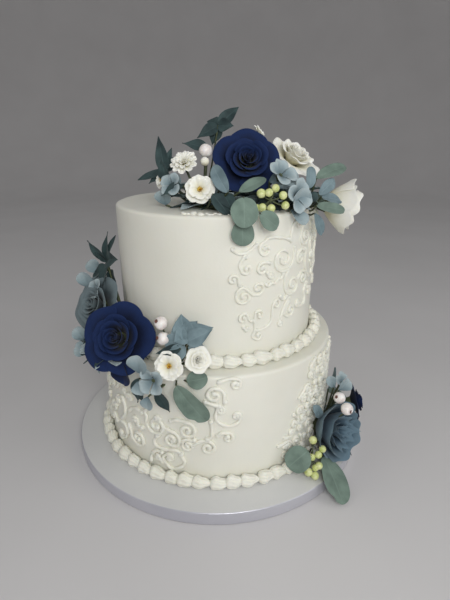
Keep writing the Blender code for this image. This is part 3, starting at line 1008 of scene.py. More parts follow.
@dataclass
class Leaf:
    """One leaf or loose petal.

    Attributes:
        tip: Heading and tilt of its tip.
        face: Heading and tilt of its upper face.
        length: Length along the leaf.
        width: Widest width.
        outline: Its shape.
        finish: Its finish.
        droop: Angle by which it has bent back at its tip.
        cup: How far its sides stand up, as a share of half the width.
        wave: Depth of the waves in its blade.
        seed: Varies it.
        at: Its stalk's place.
        notch: Depth of a notch near its tip, as a share of half the width.
        thickness: Its thickness.
    """

    tip: Look
    face: Look
    length: float
    width: float
    outline: Outline
    finish: Finish
    droop: float = 12.0
    cup: float = 0.16
    wave: float = 0.0006
    seed: int = 0
    at: Vector = field(default_factory=Vector)
    notch: float = 0.0
    thickness: float = 0.0005

    def blade(self, name: str) -> bpy.types.Object:
        """The leaf's mesh, turned the way that it points, its stalk at its own place.

        Args:
            name: The name.

        Returns:
            The leaf's mesh.
        """
        rng = np.random.default_rng(SEED + 31 * self.seed)
        opening, closing = self.outline.value
        widest = opening / (opening + closing)
        peak = widest**opening * (1 - widest) ** closing
        bend = math.radians(self.droop) + 1e-6
        phase, lean = rng.uniform(0, 6.28), rng.uniform(-0.06, 0.06)
        uneven = rng.uniform(-1, 1)

        def surface(u: np.ndarray, v: np.ndarray) -> np.ndarray:
            """The leaf's points.

            Args:
                u: Places across, from -1 to 1.
                v: Places along, from 0 to 1.

            Returns:
                The points.
            """
            half = 1.18 * self.width / 2 * v**opening * (1 - v) ** closing / peak
            half = half * (1 + 0.035 * np.sin(9 * v + phase + uneven * u))
            half = half * (1 - self.notch * np.clip(u, 0, 1) * np.exp(-((v - 0.84) / 0.035) ** 2))
            lift = self.cup * half * np.abs(u) ** 1.4
            lift = lift + self.wave * np.sin(7 * v + phase + 1.8 * u) * np.abs(u)
            lift = lift - 0.0005 * np.exp(-((u / 0.1) ** 2)) * (1 - v)
            sideways = u * half + lean * self.length * v**2
            arc = bend * v
            forward = self.length * np.sin(arc) / bend
            down = self.length * (np.cos(arc) - 1) / bend
            return np.stack([sideways, forward + lift * np.sin(arc), down + lift * np.cos(arc)], axis=1)

        piece = sheet(name, 12, 16, surface, self.finish, even_ends=True)
        thicken(piece, self.thickness, smoothing=1)
        return place(piece, Matrix.Translation(self.at) @ along(self.tip, self.face))


@dataclass
class Frond:
    """A leaf, a petal or a spray of them, that stands for one frame node.

    Attributes:
        name: The piece's name.
        node: The frame node, or nothing for a filler.
        slot: The record's material slot; not used.
        leaves: Its leaves.
    """

    name: str
    node: str
    slot: str
    leaves: Sequence[Leaf]

    def build(self) -> bpy.types.Object:
        """Makes the frond and hands it over.

        Returns:
            The finished piece.
        """
        blades = [leaf.blade(f"{self.name}_blade") for leaf in self.leaves]
        whole = joined(blades, self.name)
        feet = [leaf.at for leaf in self.leaves]
        if self.node:
            feet = [centre_on(whole, self.node, fit=True)]
        whole = joined([whole, *(stem(foot) for foot in feet)], self.name)
        deliver(whole, [self.node] if self.node else [])
        return whole


def spray_leaves(face: Look, finish: Finish, blades: Sequence[tuple[float, float, float, float]],
                 outline: Outline = Outline.POINTED, seed: int = 0) -> list[Leaf]:
    """The leaves of a spray from rows of heading, tilt, length and width."""
    return [Leaf((heading, tilt), face, length, width * 1.25, outline, finish, 18, 0.34, 0.0008,
                 seed + number)
            for number, (heading, tilt, length, width) in enumerate(blades)]


# ---------------------------------------------------------------- berries and stalks

def tube(name: str, points: Sequence[Vector], radius: float, finish: Finish,
         sides: int = 2) -> bpy.types.Object:
    """A round stalk along a smooth curve through points.

    Args:
        name: The stalk's name.
        points: Points that the curve passes.
        radius: The stalk's radius.
        finish: The stalk's finish.
        sides: Resolution of the bevel.

    Returns:
        The stalk, as a mesh.
    """
    clear_selection()
    bpy.ops.curve.primitive_bezier_curve_add()
    stalk = bpy.context.active_object
    stalk.name = name
    spline = stalk.data.splines[0]
    spline.bezier_points.add(len(points) - 2)
    for handle, point in zip(spline.bezier_points, points):
        handle.co = point
        handle.handle_left_type = "AUTO"
        handle.handle_right_type = "AUTO"
    stalk.data.bevel_depth = radius
    stalk.data.bevel_resolution = sides
    stalk.data.resolution_u = 6
    stalk.data.use_fill_caps = True
    hold(stalk)
    bpy.ops.object.convert(target="MESH")
    stalk = bpy.context.active_object
    stalk.data.materials.clear()
    stalk.data.materials.append(finish.dress())
    return stalk


def stem(foot: Vector, radius: float = 0.0008, sag: float = 0.004) -> bpy.types.Object:
    """A stalk from a flower's or a leaf's foot down to the knot that holds its group.

    Args:
        foot: Where the stalk starts.
        radius: The radius in metres.
        sag: How far the stalk hangs.

    Returns:
        The stalk.
    """
    knot = Knot.nearest(foot)
    bow = (foot + knot) / 2 + Vector((0, 0, -sag))
    return tube("stem", [foot, bow, knot], radius, Finish.STALK)


@dataclass
class Berry:
    """A white berry with a brown star of a crown.

    Attributes:
        name: The piece's name.
        node: The frame node.
        look: Heading and tilt of the crown.
        radius: The berry's radius.
    """

    name: str
    node: str
    look: Look
    radius: float = 0.006

    def build(self) -> bpy.types.Object:
        """Makes the berry and hands it over.

        Returns:
            The finished piece.
        """
        r = self.radius
        clear_selection()
        bpy.ops.mesh.primitive_uv_sphere_add(segments=32, ring_count=20, radius=r)
        ball = bpy.context.active_object
        ball.data.materials.append(Finish.WHITE_BERRY.dress())
        points = points_of(ball)
        angle = np.arctan2(points[:, 1], points[:, 0])
        points[:, :2] *= (1 + 0.02 * np.cos(5 * angle))[:, None]
        top = np.clip(points[:, 2] / r - 0.8, 0, 1)
        points[:, 2] -= top * r * 0.55
        set_points(ball, points)
        bpy.ops.mesh.primitive_cylinder_add(vertices=10, radius=0.3 * r, depth=0.1 * r,
                                            location=(0, 0, 0.96 * r))
        crown = bpy.context.active_object
        crown.data.materials.append(Finish.CROWN.dress())
        rim = points_of(crown)
        turn = np.arctan2(rim[:, 1], rim[:, 0])
        pointed = np.cos(5 * turn) > 0
        rim[:, :2] *= np.where(pointed, 1.0, 0.45)[:, None]
        rim[:, 2] += np.where(pointed, 0.1 * r, -0.06 * r)
        set_points(crown, rim)
        whole = joined([ball, crown], self.name)
        place(whole, facing(self.look))
        centre_on(whole, self.node, fit=True)
        middle = box_middle(self.node)
        back = middle + (Knot.nearest(middle) - middle).normalized() * r * 0.9
        whole = joined([whole, stem(back, 0.0006, -0.003)], self.name)
        deliver(whole, [self.node])
        return whole


@dataclass
class BerryBunch:
    """A bunch of small green berries on their stalks.

    Attributes:
        name: The piece's name.
        node: The frame node.
        berries: Each berry's middle, right, forward and up from the knot.
        radius: A berry's radius.
    """

    name: str
    node: str
    berries: Sequence[tuple[float, float, float]]
    radius: float

    def build(self) -> bpy.types.Object:
        """Makes the bunch and hands it over.

        Returns:
            The finished piece.
        """
        rng = np.random.default_rng(SEED + len(self.berries))
        made = []
        for middle in self.berries:
            centre = Vector(middle)
            size = self.radius * rng.uniform(0.88, 1.1)
            clear_selection()
            bpy.ops.mesh.primitive_uv_sphere_add(segments=20, ring_count=14, radius=size, location=centre)
            ball = bpy.context.active_object
            ball.data.materials.append(Finish.GREEN_BERRY.dress())
            tip = centre + centre.normalized() * size * 0.98
            bpy.ops.mesh.primitive_uv_sphere_add(segments=8, ring_count=5, radius=size * 0.13, location=tip)
            dot = bpy.context.active_object
            dot.data.materials.append(Finish.CROWN.dress())
            bow = centre * 0.5 + Vector((0, 0, -0.001))
            made += [ball, dot, tube("stalk", [Vector(), bow, centre], 0.0006, Finish.STALK)]
        whole = joined(made, self.name)
        bpy.ops.object.transform_apply(location=True, rotation=True, scale=True)
        foot = centre_on(whole, self.node)
        whole = joined([whole, stem(foot, 0.0008)], self.name)
        deliver(whole, [self.node])
        return whole


# ---------------------------------------------------------------- board, tiers and piping

@dataclass
class Board:
    """The round board under the cake: a thick card wrapped in foil, with a paper top.

    Attributes:
        radius: The board's radius.
        thickness: Its thickness.
        edge: Radius of its rounded edges.
    """

    radius: float = 0.1524
    thickness: float = 0.0127
    edge: float = 0.0012

    def build(self) -> bpy.types.Object:
        """Makes the board and hands it over.

        Returns:
            The finished piece.
        """
        clear_selection()
        bpy.ops.mesh.primitive_cylinder_add(vertices=256, radius=self.radius, depth=self.thickness,
                                            location=(0, 0, self.thickness / 2))
        board = bpy.context.active_object
        board.name = "board"
        board.data.materials.append(Finish.BOARD_TOP.dress())
        board.data.materials.append(Finish.BOARD_EDGE.dress())
        rounding = board.modifiers.new("rounding", "BEVEL")
        rounding.width = self.edge
        rounding.segments = 4
        rounding.limit_method = "ANGLE"
        rounding.angle_limit = math.radians(50)
        apply_all(board)
        bpy.ops.object.transform_apply(location=True, rotation=True, scale=True)
        for face in board.data.polygons:
            face.material_index = 0 if face.normal.z > 0.9 else 1
        deliver(board, ["cake_board"], 35)
        return board


@dataclass
class Tier:
    """One tier of cake in smoothed icing.

    Attributes:
        name: The piece's name.
        node: The frame node.
        radius: The tier's radius.
        low: Height of its foot.
        high: Height of its top.
        edge: How far its top edge is rounded.
        seed: Varies its unevenness.
    """

    name: str
    node: str
    radius: float
    low: float
    high: float
    edge: float = 0.003
    seed: int = 0

    def build(self) -> bpy.types.Object:
        """Makes the tier and hands it over.

        Returns:
            The finished piece.
        """
        steps = 26
        rise = (self.high - self.edge - self.low) / steps
        clear_selection()
        bpy.ops.mesh.primitive_cylinder_add(vertices=192, radius=self.radius, depth=rise,
                                            location=(0, 0, self.low + rise / 2))
        tier = bpy.context.active_object
        tier.name = self.name
        bpy.ops.object.transform_apply(location=True, rotation=True, scale=True)
        bpy.ops.object.mode_set(mode="EDIT")
        bpy.ops.mesh.select_mode(type="FACE")
        bpy.ops.mesh.select_all(action="DESELECT")
        bpy.ops.object.mode_set(mode="OBJECT")
        tier.data.polygons.foreach_set("select", [face.normal.z > 0.9 for face in tier.data.polygons])
        bpy.ops.object.mode_set(mode="EDIT")
        for _ in range(steps - 1):
            bpy.ops.mesh.extrude_region_move(TRANSFORM_OT_translate={"value": (0, 0, rise)})
        turn = math.pi / 2 / 6
        radius = self.radius
        for step in range(1, 7):
            new_radius = self.radius - self.edge * (1 - math.cos(turn * step))
            lift = self.edge * (math.sin(turn * step) - math.sin(turn * (step - 1)))
            bpy.ops.mesh.extrude_region_move(TRANSFORM_OT_translate={"value": (0, 0, lift)})
            share = new_radius / radius
            bpy.ops.transform.resize(value=(share, share, 1), center_override=(0, 0, 0))
            radius = new_radius
        for _ in range(14):
            bpy.ops.mesh.inset(thickness=radius / 15)
        bpy.ops.mesh.select_all(action="SELECT")
        bpy.ops.mesh.normals_make_consistent(inside=False)
        bpy.ops.object.mode_set(mode="OBJECT")
        self.unevenness(tier)
        tier.data.materials.append(Finish.ICING.dress())
        deliver(tier, [self.node], 40)
        return tier

    def unevenness(self, tier: bpy.types.Object) -> None:
        """Gives the icing the slight waves that a scraper leaves, never beyond the tier's own size.

        Args:
            tier: The tier's piece.
        """
        rng = np.random.default_rng(SEED + self.seed)
        points = points_of(tier)
        turn = np.arctan2(points[:, 1], points[:, 0])
        level = (points[:, 2] - self.low) / (self.high - self.low)
        wave = np.zeros(len(points))
        for lobes, strength in ((2, 0.3), (3, 0.22), (5, 0.14), (9, 0.08), (14, 0.05)):
            phase, drift = rng.uniform(0, 6.28, 2)
            wave += strength * np.sin(lobes * turn + phase + drift * level)
        reach = np.hypot(points[:, 0], points[:, 1])
        side = np.clip(reach / self.radius, 0, 1) ** 6
        change = MM * 0.45 * (wave - 0.75) * side
        points[:, :2] *= (1 + change / np.maximum(reach, 1e-6))[:, None]
        top = np.clip((level - 0.97) / 0.03, 0, 1)
        ripple = np.sin(points[:, 0] * 52 + 1.3) + np.sin(points[:, 1] * 67 + points[:, 0] * 31)
        ripple += 0.5 * np.sin(points[:, 0] * 140 - points[:, 1] * 90)
        rim = np.exp(-((reach / self.radius - 0.955) / 0.03) ** 2) * (0.6 + 0.4 * np.sin(3 * turn + 1))
        points[:, 2] += MM * top * (0.16 * ripple - 0.42 + 0.25 * rim * np.sin(5 * turn))
        set_points(tier, points)


@dataclass
class ShellBorder:
    """A ring of piped shells round the foot of a tier.

    Attributes:
        name: The piece's name.
        node: The frame node.
        tier_radius: Radius of the tier that it runs round.
        foot: Height of the surface that it is piped on.
        count: Shells in the ring.
        width: How far a shell stands out from the tier.
        height: A shell's height.
        seed: Varies the shells.
    """

    name: str
    node: str
    tier_radius: float
    foot: float
    count: int
    width: float = 0.0125
    height: float = 0.012
    seed: int = 0

    def shell(self) -> bpy.types.Object:
        """One shell at the origin: its fat head at −X, its tail at +X, its ridges along X.

        Returns:
            The shell.
        """
        pitch = 2 * math.pi * (self.tier_radius + self.width / 2) / self.count
        clear_selection()
        bpy.ops.mesh.primitive_uv_sphere_add(segments=44, ring_count=14, radius=1.0)
        shell = bpy.context.active_object
        shell.data.materials.append(Finish.PIPING.dress())
        points = points_of(shell)
        share = (1 - points[:, 2]) / 2
        turn = np.arctan2(points[:, 1], points[:, 0])
        swell = np.sin(math.pi * np.clip(share, 0, 1) ** 0.7) ** 0.46
        swell = swell * (1 - 0.22 * share)
        depth = np.clip(5 * share * (1 - share), 0, 1)
        ridges = 1 - 0.22 * depth * (1 - np.abs(np.cos(4.5 * turn + 2.2 * (share - 0.3)))) ** 1.6
        across = np.cos(turn) * swell * ridges
        upward = np.sin(turn) * swell * ridges
        bulge = 1 + 0.14 * np.exp(-((share - 0.26) / 0.18) ** 2)
        made = np.stack([(share - 0.46) * pitch * 1.3,
                         across * self.width * 0.52,
                         self.height * (0.41 + 0.57 * upward * bulge * (1 - 0.1 * share))], axis=1)
        made[:, 2] = np.maximum(made[:, 2], 0.0001)
        set_points(shell, made)
        return shell

    def build(self) -> bpy.types.Object:
        """Makes the ring and hands it over.

        Returns:
            The finished piece.
        """
        rng = np.random.default_rng(SEED + self.seed)
        master = self.shell()
        shape = points_of(master)
        reach = self.tier_radius + self.width * 0.47
        copies = []
        for number in range(self.count):
            hold(master)
            bpy.ops.object.duplicate(linked=False)
            copy = bpy.context.active_object
            size = rng.uniform(0.9, 1.04, 3)
            points = shape * size
            roll = math.radians(rng.uniform(-11, 11))
            tilt = points[:, 1] * math.sin(roll)
            points[:, 0] += tilt + points[:, 2] * rng.uniform(-0.14, 0.14)
            points[:, 1] += 0.0005 * np.sin(points[:, 0] * 700 + number)
            heading = 2 * math.pi * (number + 0.24 * rng.uniform(-0.5, 0.5)) / self.count
            angle = heading + points[:, 0] / reach
            out = reach + points[:, 1] + 0.0004 * rng.uniform(-1, 0)
            ring = np.stack([np.sin(angle) * out, -np.cos(angle) * out, points[:, 2] + self.foot], axis=1)
            set_points(copy, ring)
            copies.append(copy)
        bpy.data.objects.remove(master)
        whole = joined(copies, self.name)
        bpy.ops.object.mode_set(mode="EDIT")
        bpy.ops.mesh.select_all(action="SELECT")
        bpy.ops.mesh.normals_make_consistent(inside=False)
        bpy.ops.object.mode_set(mode="OBJECT")
        deliver(whole, [self.node], 75)
        return whole


@dataclass(frozen=True)
class Volute:
    """A spiral at the end of a piped scroll.

    Attributes:
        heading: Heading of its eye on the tier.
        height: Height of its eye, in millimetres.
        radius: Its outer radius, in millimetres.
        entry: Where the scroll meets it: 0 is towards growing headings, 90 is up.
        turns: Turns from there to the eye, positive anticlockwise as seen from outside.
    """

    heading: float
    height: float
    radius: float
    entry: float
    turns: float

    def points(self, scale: float) -> list[tuple[float, float]]:
        """The spiral from its outside to its eye, in unrolled millimetres.

        Args:
            scale: Millimetres of wall for each degree of heading.

        Returns:
            The points.
        """
        steps = max(6, round(abs(self.turns) * 11))
        made = []
        for step in range(steps + 1):
            share = step / steps
            angle = math.radians(self.entry + 360 * self.turns * share)
            reach = self.radius * (1 - 0.8 * share ** 0.9)
            made.append((self.heading * scale + reach * math.cos(angle),
                         self.height + reach * math.sin(angle)))
        return made


Station = Volute | tuple[float, float]


@dataclass
class ScrollWork:
    """Scrolls piped on a tier's wall.

    Attributes:
        name: The piece's name.
        radius: The tier's radius.
        strokes: Each scroll, as the volutes and the points that its line passes.
        bead: Radius of the piped line.
        relief: How far its middle stands out from the wall, as a share of the bead.
        seed: Varies the line.
    """

    name: str
    radius: float
    strokes: Sequence[Sequence[Station]]
    bead: float = 0.0014
    relief: float = 0.05
    seed: int = 0

    def path(self, stroke: Sequence[Station]) -> np.ndarray:
        """A scroll's line in unrolled millimetres, as points at even steps.

        Args:
            stroke: The scroll's stations in order.

        Returns:
            The points.
        """
        scale = math.radians(1) * self.radius * 1000
        knots: list[tuple[float, float]] = []
        for number, station in enumerate(stroke):
            if isinstance(station, Volute):
                spiral = station.points(scale)
                knots += spiral[::-1] if number == 0 and len(stroke) > 1 else spiral
            else:
                knots.append((station[0] * scale, station[1]))
        points = np.array(knots)
        padded = np.vstack([2 * points[0] - points[1], points, 2 * points[-1] - points[-2]])
        fine = []
        for a, b, c, d in zip(padded, padded[1:], padded[2:], padded[3:]):
            for share in np.linspace(0, 1, 8, endpoint=False):
                fine.append(0.5 * (2 * b + (c - a) * share + (2 * a - 5 * b + 4 * c - d) * share**2
                                   + (3 * b - a - 3 * c + d) * share**3))
        fine = np.array(fine + [points[-1]])
        run = np.concatenate([[0], np.cumsum(np.hypot(*np.diff(fine, axis=0).T))])
        even = np.linspace(0, run[-1], max(4, round(run[-1] / 1.5)))
        return np.stack([np.interp(even, run, fine[:, 0]), np.interp(even, run, fine[:, 1])], axis=1)

    def line(self, stroke: Sequence[Station], rng: np.random.Generator) -> bpy.types.Object:
        """Pipes one scroll: a bead that swells and thins, with a blob where it starts and ends.

        Args:
            stroke: The scroll's stations in order.
            rng: The seeded random numbers.

        Returns:
            The parts of the scroll.
        """
        path = self.path(stroke)
        clear_selection()
        bpy.ops.curve.primitive_bezier_curve_add()
        piped = bpy.context.active_object
        spline = piped.data.splines[0]
        spline.bezier_points.add(len(path) - 2)
        phase = rng.uniform(0, 6.28)
        for number, (handle, spot) in enumerate(zip(spline.bezier_points, path)):
            angle = spot[0] * MM / self.radius
            ends = min(number, len(path) - 1 - number)
            swell = 1.0 + 0.13 * math.sin(0.9 * number + phase) + 0.07 * rng.uniform(-1, 1)
            swell += 0.26 * math.exp(-ends / 1.6)
            reach = self.radius - 0.0003 + self.bead * (self.relief + 0.15 * swell)
            handle.co = (math.sin(angle) * reach, -math.cos(angle) * reach, spot[1] * MM)
            handle.radius = swell
            handle.handle_left_type = "AUTO"
            handle.handle_right_type = "AUTO"
        piped.data.bevel_depth = self.bead
        piped.data.bevel_resolution = 2
        piped.data.resolution_u = 3
        piped.data.use_fill_caps = True
        hold(piped)
        bpy.ops.object.convert(target="MESH")
        piped = bpy.context.active_object
        bpy.ops.object.transform_apply(location=True, rotation=True, scale=True)
        piped.data.materials.clear()
        piped.data.materials.append(Finish.PIPING.dress())
        blobs = [piped]
        for spot, size in ((path[0], 1.35), (path[-1], 1.5)):
            angle = spot[0] * MM / self.radius
            reach = self.radius - 0.0003 + self.bead * self.relief
            clear_selection()
            bpy.ops.mesh.primitive_uv_sphere_add(segments=12, ring_count=8, radius=self.bead * size,
                                                 location=(math.sin(angle) * reach, -math.cos(angle) * reach,
                                                           spot[1] * MM))
            blob = bpy.context.active_object
            blob.data.materials.append(Finish.PIPING.dress())
            blobs.append(blob)
        return joined(blobs, "scroll")

    def build(self) -> bpy.types.Object:
        """Pipes all the scrolls and hands them over.

        Returns:
            The finished piece.
        """
        rng = np.random.default_rng(SEED + self.seed)
        whole = joined([self.line(stroke, rng) for stroke in self.strokes], self.name)
        hold(whole)
        bpy.ops.object.transform_apply(location=True, rotation=True, scale=True)
        deliver(whole, (), 60)
        return whole


def top_scrolls() -> list[list[Station]]:
    """The scrolls on the top tier, from under its flowers round to the right.

    Returns:
        The scroll work.
    """
    return [
        [(39.4, 228), (33, 231), (26, 232), Volute(24.2, 222.5, 7.0, 95, 1.15)],
        [(7.3, 224.5), (10.5, 220.8), (15, 222), (19.5, 227.5)],
        [Volute(13.9, 217.5, 2.4, 200, -0.6), (10.7, 211.5), Volute(14.6, 207.8, 5.4, 180, 0.95)],
        [(27.0, 210.5), (24.5, 212), Volute(22.8, 206.4, 5.2, 100, 1.15)],
        [(25.6, 202.5), Volute(28.2, 200.2, 2.9, 190, 0.85)],
        [(43.6, 220), Volute(35.6, 212.2, 13.2, 8, -1.55)],
        [Volute(7.6, 199.2, 5.0, -20, 1.1), (10.9, 194.5)],
        [Volute(13.3, 183.8, 8.2, 100, 1.25), (14.8, 190), (17.4, 185.6),
         Volute(20.6, 190.5, 6.4, 245, 1.15)],
        [(25.2, 192.4), (26.4, 190.9), (28.4, 193.2), (30.2, 192.2), (32.4, 195.8), (34.2, 195.6),
         (35.8, 199)],
        [(40.2, 203), (37.6, 196.5), Volute(43.2, 187.2, 10.8, 165, 1.3)],
        [(47.5, 190.5), (49.8, 194.6), Volute(53.0, 189.8, 6.2, 110, -1.25)],
        [(53.0, 214.5), (50.5, 216.4), Volute(49.2, 209.4, 6.2, 110, 1.1)],
        [(54.6, 215), (54.3, 207.5), (55, 200), (57.5, 193.5), (60.4, 188.4)],
        [(53.6, 242), (49.6, 236), Volute(53.2, 227.2, 8.8, 145, 1.45)],
        [(50.2, 238.4), Volute(46.2, 239.6, 4.6, 0, 1.1)],
        [(40.2, 226.5), (40, 232), (41.3, 239.5), (43.5, 243)],
        [Volute(32, 172.8, 4.4, 95, -0.9), (29.6, 172), (29.4, 163), (28.2, 156.5), (24.5, 152.8),
         (20.4, 152)],
        [Volute(13.2, 164.2, 4.9, 60, 1.0), (16.6, 162), (18.6, 161.4)],
        [Volute(22.0, 166.2, 4.8, 150, -1.0), (19.2, 162), (19.3, 152), (18.0, 147),
         Volute(21.6, 147.0, 4.2, 210, 1.0)],
        [(13.2, 156.4), Volute(15.4, 155.2, 2.2, 230, 0.7)],
        [(39.2, 177.5), (36.6, 175.6), (34.6, 179)],
        [(40.6, 175.4), (37.4, 168.4), (35.4, 160.5), Volute(35.5, 153.6, 3.4, 100, 1.0)],
        [(41.2, 171.6), (38.2, 168), (37.4, 162), Volute(42.4, 163.4, 6.2, 235, 1.0)],
        [Volute(49.4, 167.2, 3.8, 230, -1.0), (53, 162.6), (56.2, 163.2), (57.0, 170), (55.4, 177.2),
         (58.6, 182)],
        [(60.6, 246), (58.2, 240), Volute(61.6, 236, 5.4, 170, 1.1)],
        [(62, 226), (59.8, 220), (61.2, 212), Volute(64.6, 208, 5.6, 150, 1.2)],
        [(70.5, 232), Volute(66.6, 224, 6.6, 60, 1.25)],
        [(61.4, 202), (64.2, 196.4), Volute(67.4, 190.6, 6.0, 120, -1.25)],
        [(61.2, 176.4), Volute(64.8, 172.4, 5.2, 160, 1.2)],
        [(72.8, 216), (71.4, 206), (73.4, 198), Volute(77.2, 196, 5.6, 190, 1.15)],
        [(76.4, 238), Volute(73.2, 241.6, 4.6, 300, -1.1)],
        [(80.4, 230), Volute(77.6, 219.6, 7.4, 70, 1.35)],
        [(70.4, 184), (72.4, 176), Volute(76.4, 178.8, 5.4, 220, 1.15)],
        [(83.6, 209), (81.4, 202), (83.8, 194.6), Volute(86.6, 188.2, 5.6, 110, -1.2)],
        [(87.6, 232), Volute(85.6, 224.2, 5.8, 80, 1.2)],
        [(92.4, 214), Volute(90.4, 205.6, 6.0, 75, 1.2)],
    ]


def lower_left_scrolls() -> list[list[Station]]:
    """The scrolls on the bottom tier below the left flowers.

    Returns:
        The scroll work.
    """
    return [
        [(0.4, 118.2), (3.2, 120.4), (5.6, 121.4), Volute(7.2, 115.4, 5.2, 60, -1.1)],
        [Volute(-1.5, 105.4, 9.0, -25, 1.35), (2.9, 99.0)],
        [(-5.2, 98.8), (-2.2, 96.8), (0.6, 95.2)],
        [Volute(1.0, 90.8, 4.2, 120, -1.15), (-1.0, 86), (0.0, 79.4), (4.2, 74.6), (8.0, 77.2),
         Volute(7.7, 84.2, 3.7, -20, 1.1)],
        [(-0.2, 64.6), (1.4, 67.6), Volute(4.2, 62.2, 5.8, 110, -1.0)],
        [(-2.9, 79), (-2.6, 71), (-2.8, 64.2), (-4.6, 61)],
        [(-10.4, 54.2), (-7.6, 58.4), Volute(-4.5, 51.8, 7.4, 95, -1.3)],
        [(-10.2, 59.2), Volute(-13, 52.6, 6.8, 60, 1.5)],
        [(-20.6, 75), (-17.6, 77.8), Volute(-13.4, 68.2, 8.6, 80, -1.35)],
        [(-31.6, 83.4), (-33.9, 76.6), Volute(-28.0, 66.6, 11.6, 150, 1.45)],
        [Volute(-27.4, 74.4, 2.4, 0, 0.8)],
        [(-25, 62.5), (-23.4, 66.2), Volute(-20.6, 55.6, 9.4, 100, -1.45)],
        [(-27.4, 55.6), (-29.4, 49.6), (-28.4, 44.0), (-23.6, 43.2), (-18.8, 45.2), (-16.2, 42)],
        [Volute(-21.8, 35.0, 4.2, 130, -1.1), (-25.2, 33), (-23.4, 26.4), (-20.6, 23.6), (-16.8, 27),
         (-14.9, 34),
         (-16.6, 41)],
        [(-25.8, 38.4), (-28.8, 38.2), (-31.4, 32), (-31.8, 25.2)],
        [Volute(-28.4, 30.6, 3.6, 100, -1.0), (-25.8, 28.4)],
        [(-45.8, 51.4), Volute(-39.4, 43.4, 10.6, 165, 1.35)],
        [(-36.4, 57.2), Volute(-40.6, 61.6, 4.6, -60, 1.2)],
        [(-44.6, 68.4), (-42, 73.6), (-38.4, 76), (-35.8, 74)],
        [Volute(-43.4, 83.6, 4.4, 200, -1.1), (-47.4, 88.4)],
        [Volute(-54.0, 70.4, 5.2, 60, 1.1), (-49.8, 78), (-48, 70), (-48.2, 62), (-51, 54)],
        [(-53.2, 48), (-49, 47.2), (-47.6, 40.4), (-50.2, 32), Volute(-54.4, 31.6, 5.2, 0, -1.1)],
        [(-52, 92), (-54.8, 84), Volute(-59.8, 86, 5.6, 0, 1.2)],
        [(-57.2, 62), Volute(-61.4, 58, 6.4, 40, -1.3)],
        [(-58.2, 42), (-61.4, 46), Volute(-65.4, 40.4, 5.8, 60, 1.2)],
        [(-66.4, 92), (-64.8, 82), (-67.4, 74), Volute(-71.6, 76.4, 5.6, 300, -1.2)],
        [(-69.4, 62), Volute(-73.4, 55.4, 6.2, 60, 1.25)],
        [(-74.4, 38), (-71, 31), Volute(-76.4, 29.6, 5.0, 0, -1.1)],
        [(-78.6, 92), (-76.4, 84), Volute(-80.8, 77.4, 6.4, 60, 1.2)],
        [(-82.4, 64), (-80.4, 56), (-82.4, 46), Volute(-86.4, 44.4, 5.8, 0, -1.2)],
        [(-88.6, 84), (-86.8, 74), Volute(-91.6, 68.4, 6.2, 40, -1.2)],
    ]


def lower_right_scrolls() -> list[list[Station]]:
    """The dense scrolls on the bottom tier beside the right flowers, along a slanting edge.

    Returns:
        The scroll work.
    """
    rng = np.random.default_rng(SEED + 5)
    made: list[list[Station]] = []
    rows = ((111, 47), (101, 46), (91, 44.2), (81, 42.2), (71, 39.2), (61, 36.6), (50, 34.6),
            (40, 32.6), (30, 31.6))
    for number, (height, edge) in enumerate(rows):
        heading = edge
        while heading < 92 - 0.1 * height:
            turn = 1 if (number + round(heading)) % 2 else -1
            size = rng.uniform(3.6, 5.4)
            entry = rng.uniform(20, 160) if rng.uniform() < 0.6 else rng.uniform(200, 320)
            where = height + rng.uniform(-2.4, 2.4)
            reach = (size + rng.uniform(3.5, 7.0)) / 2.05
            side = math.radians(entry - 70 * turn)
            tail = (heading + reach * math.cos(side), where + 2.05 * reach * math.sin(side))
            made.append([tail, Volute(heading + rng.uniform(-0.4, 0.4), where, size, entry, 1.05 * turn)])
            heading += rng.uniform(4.8, 6.4)
    return made


# ---------------------------------------------------------------- studio

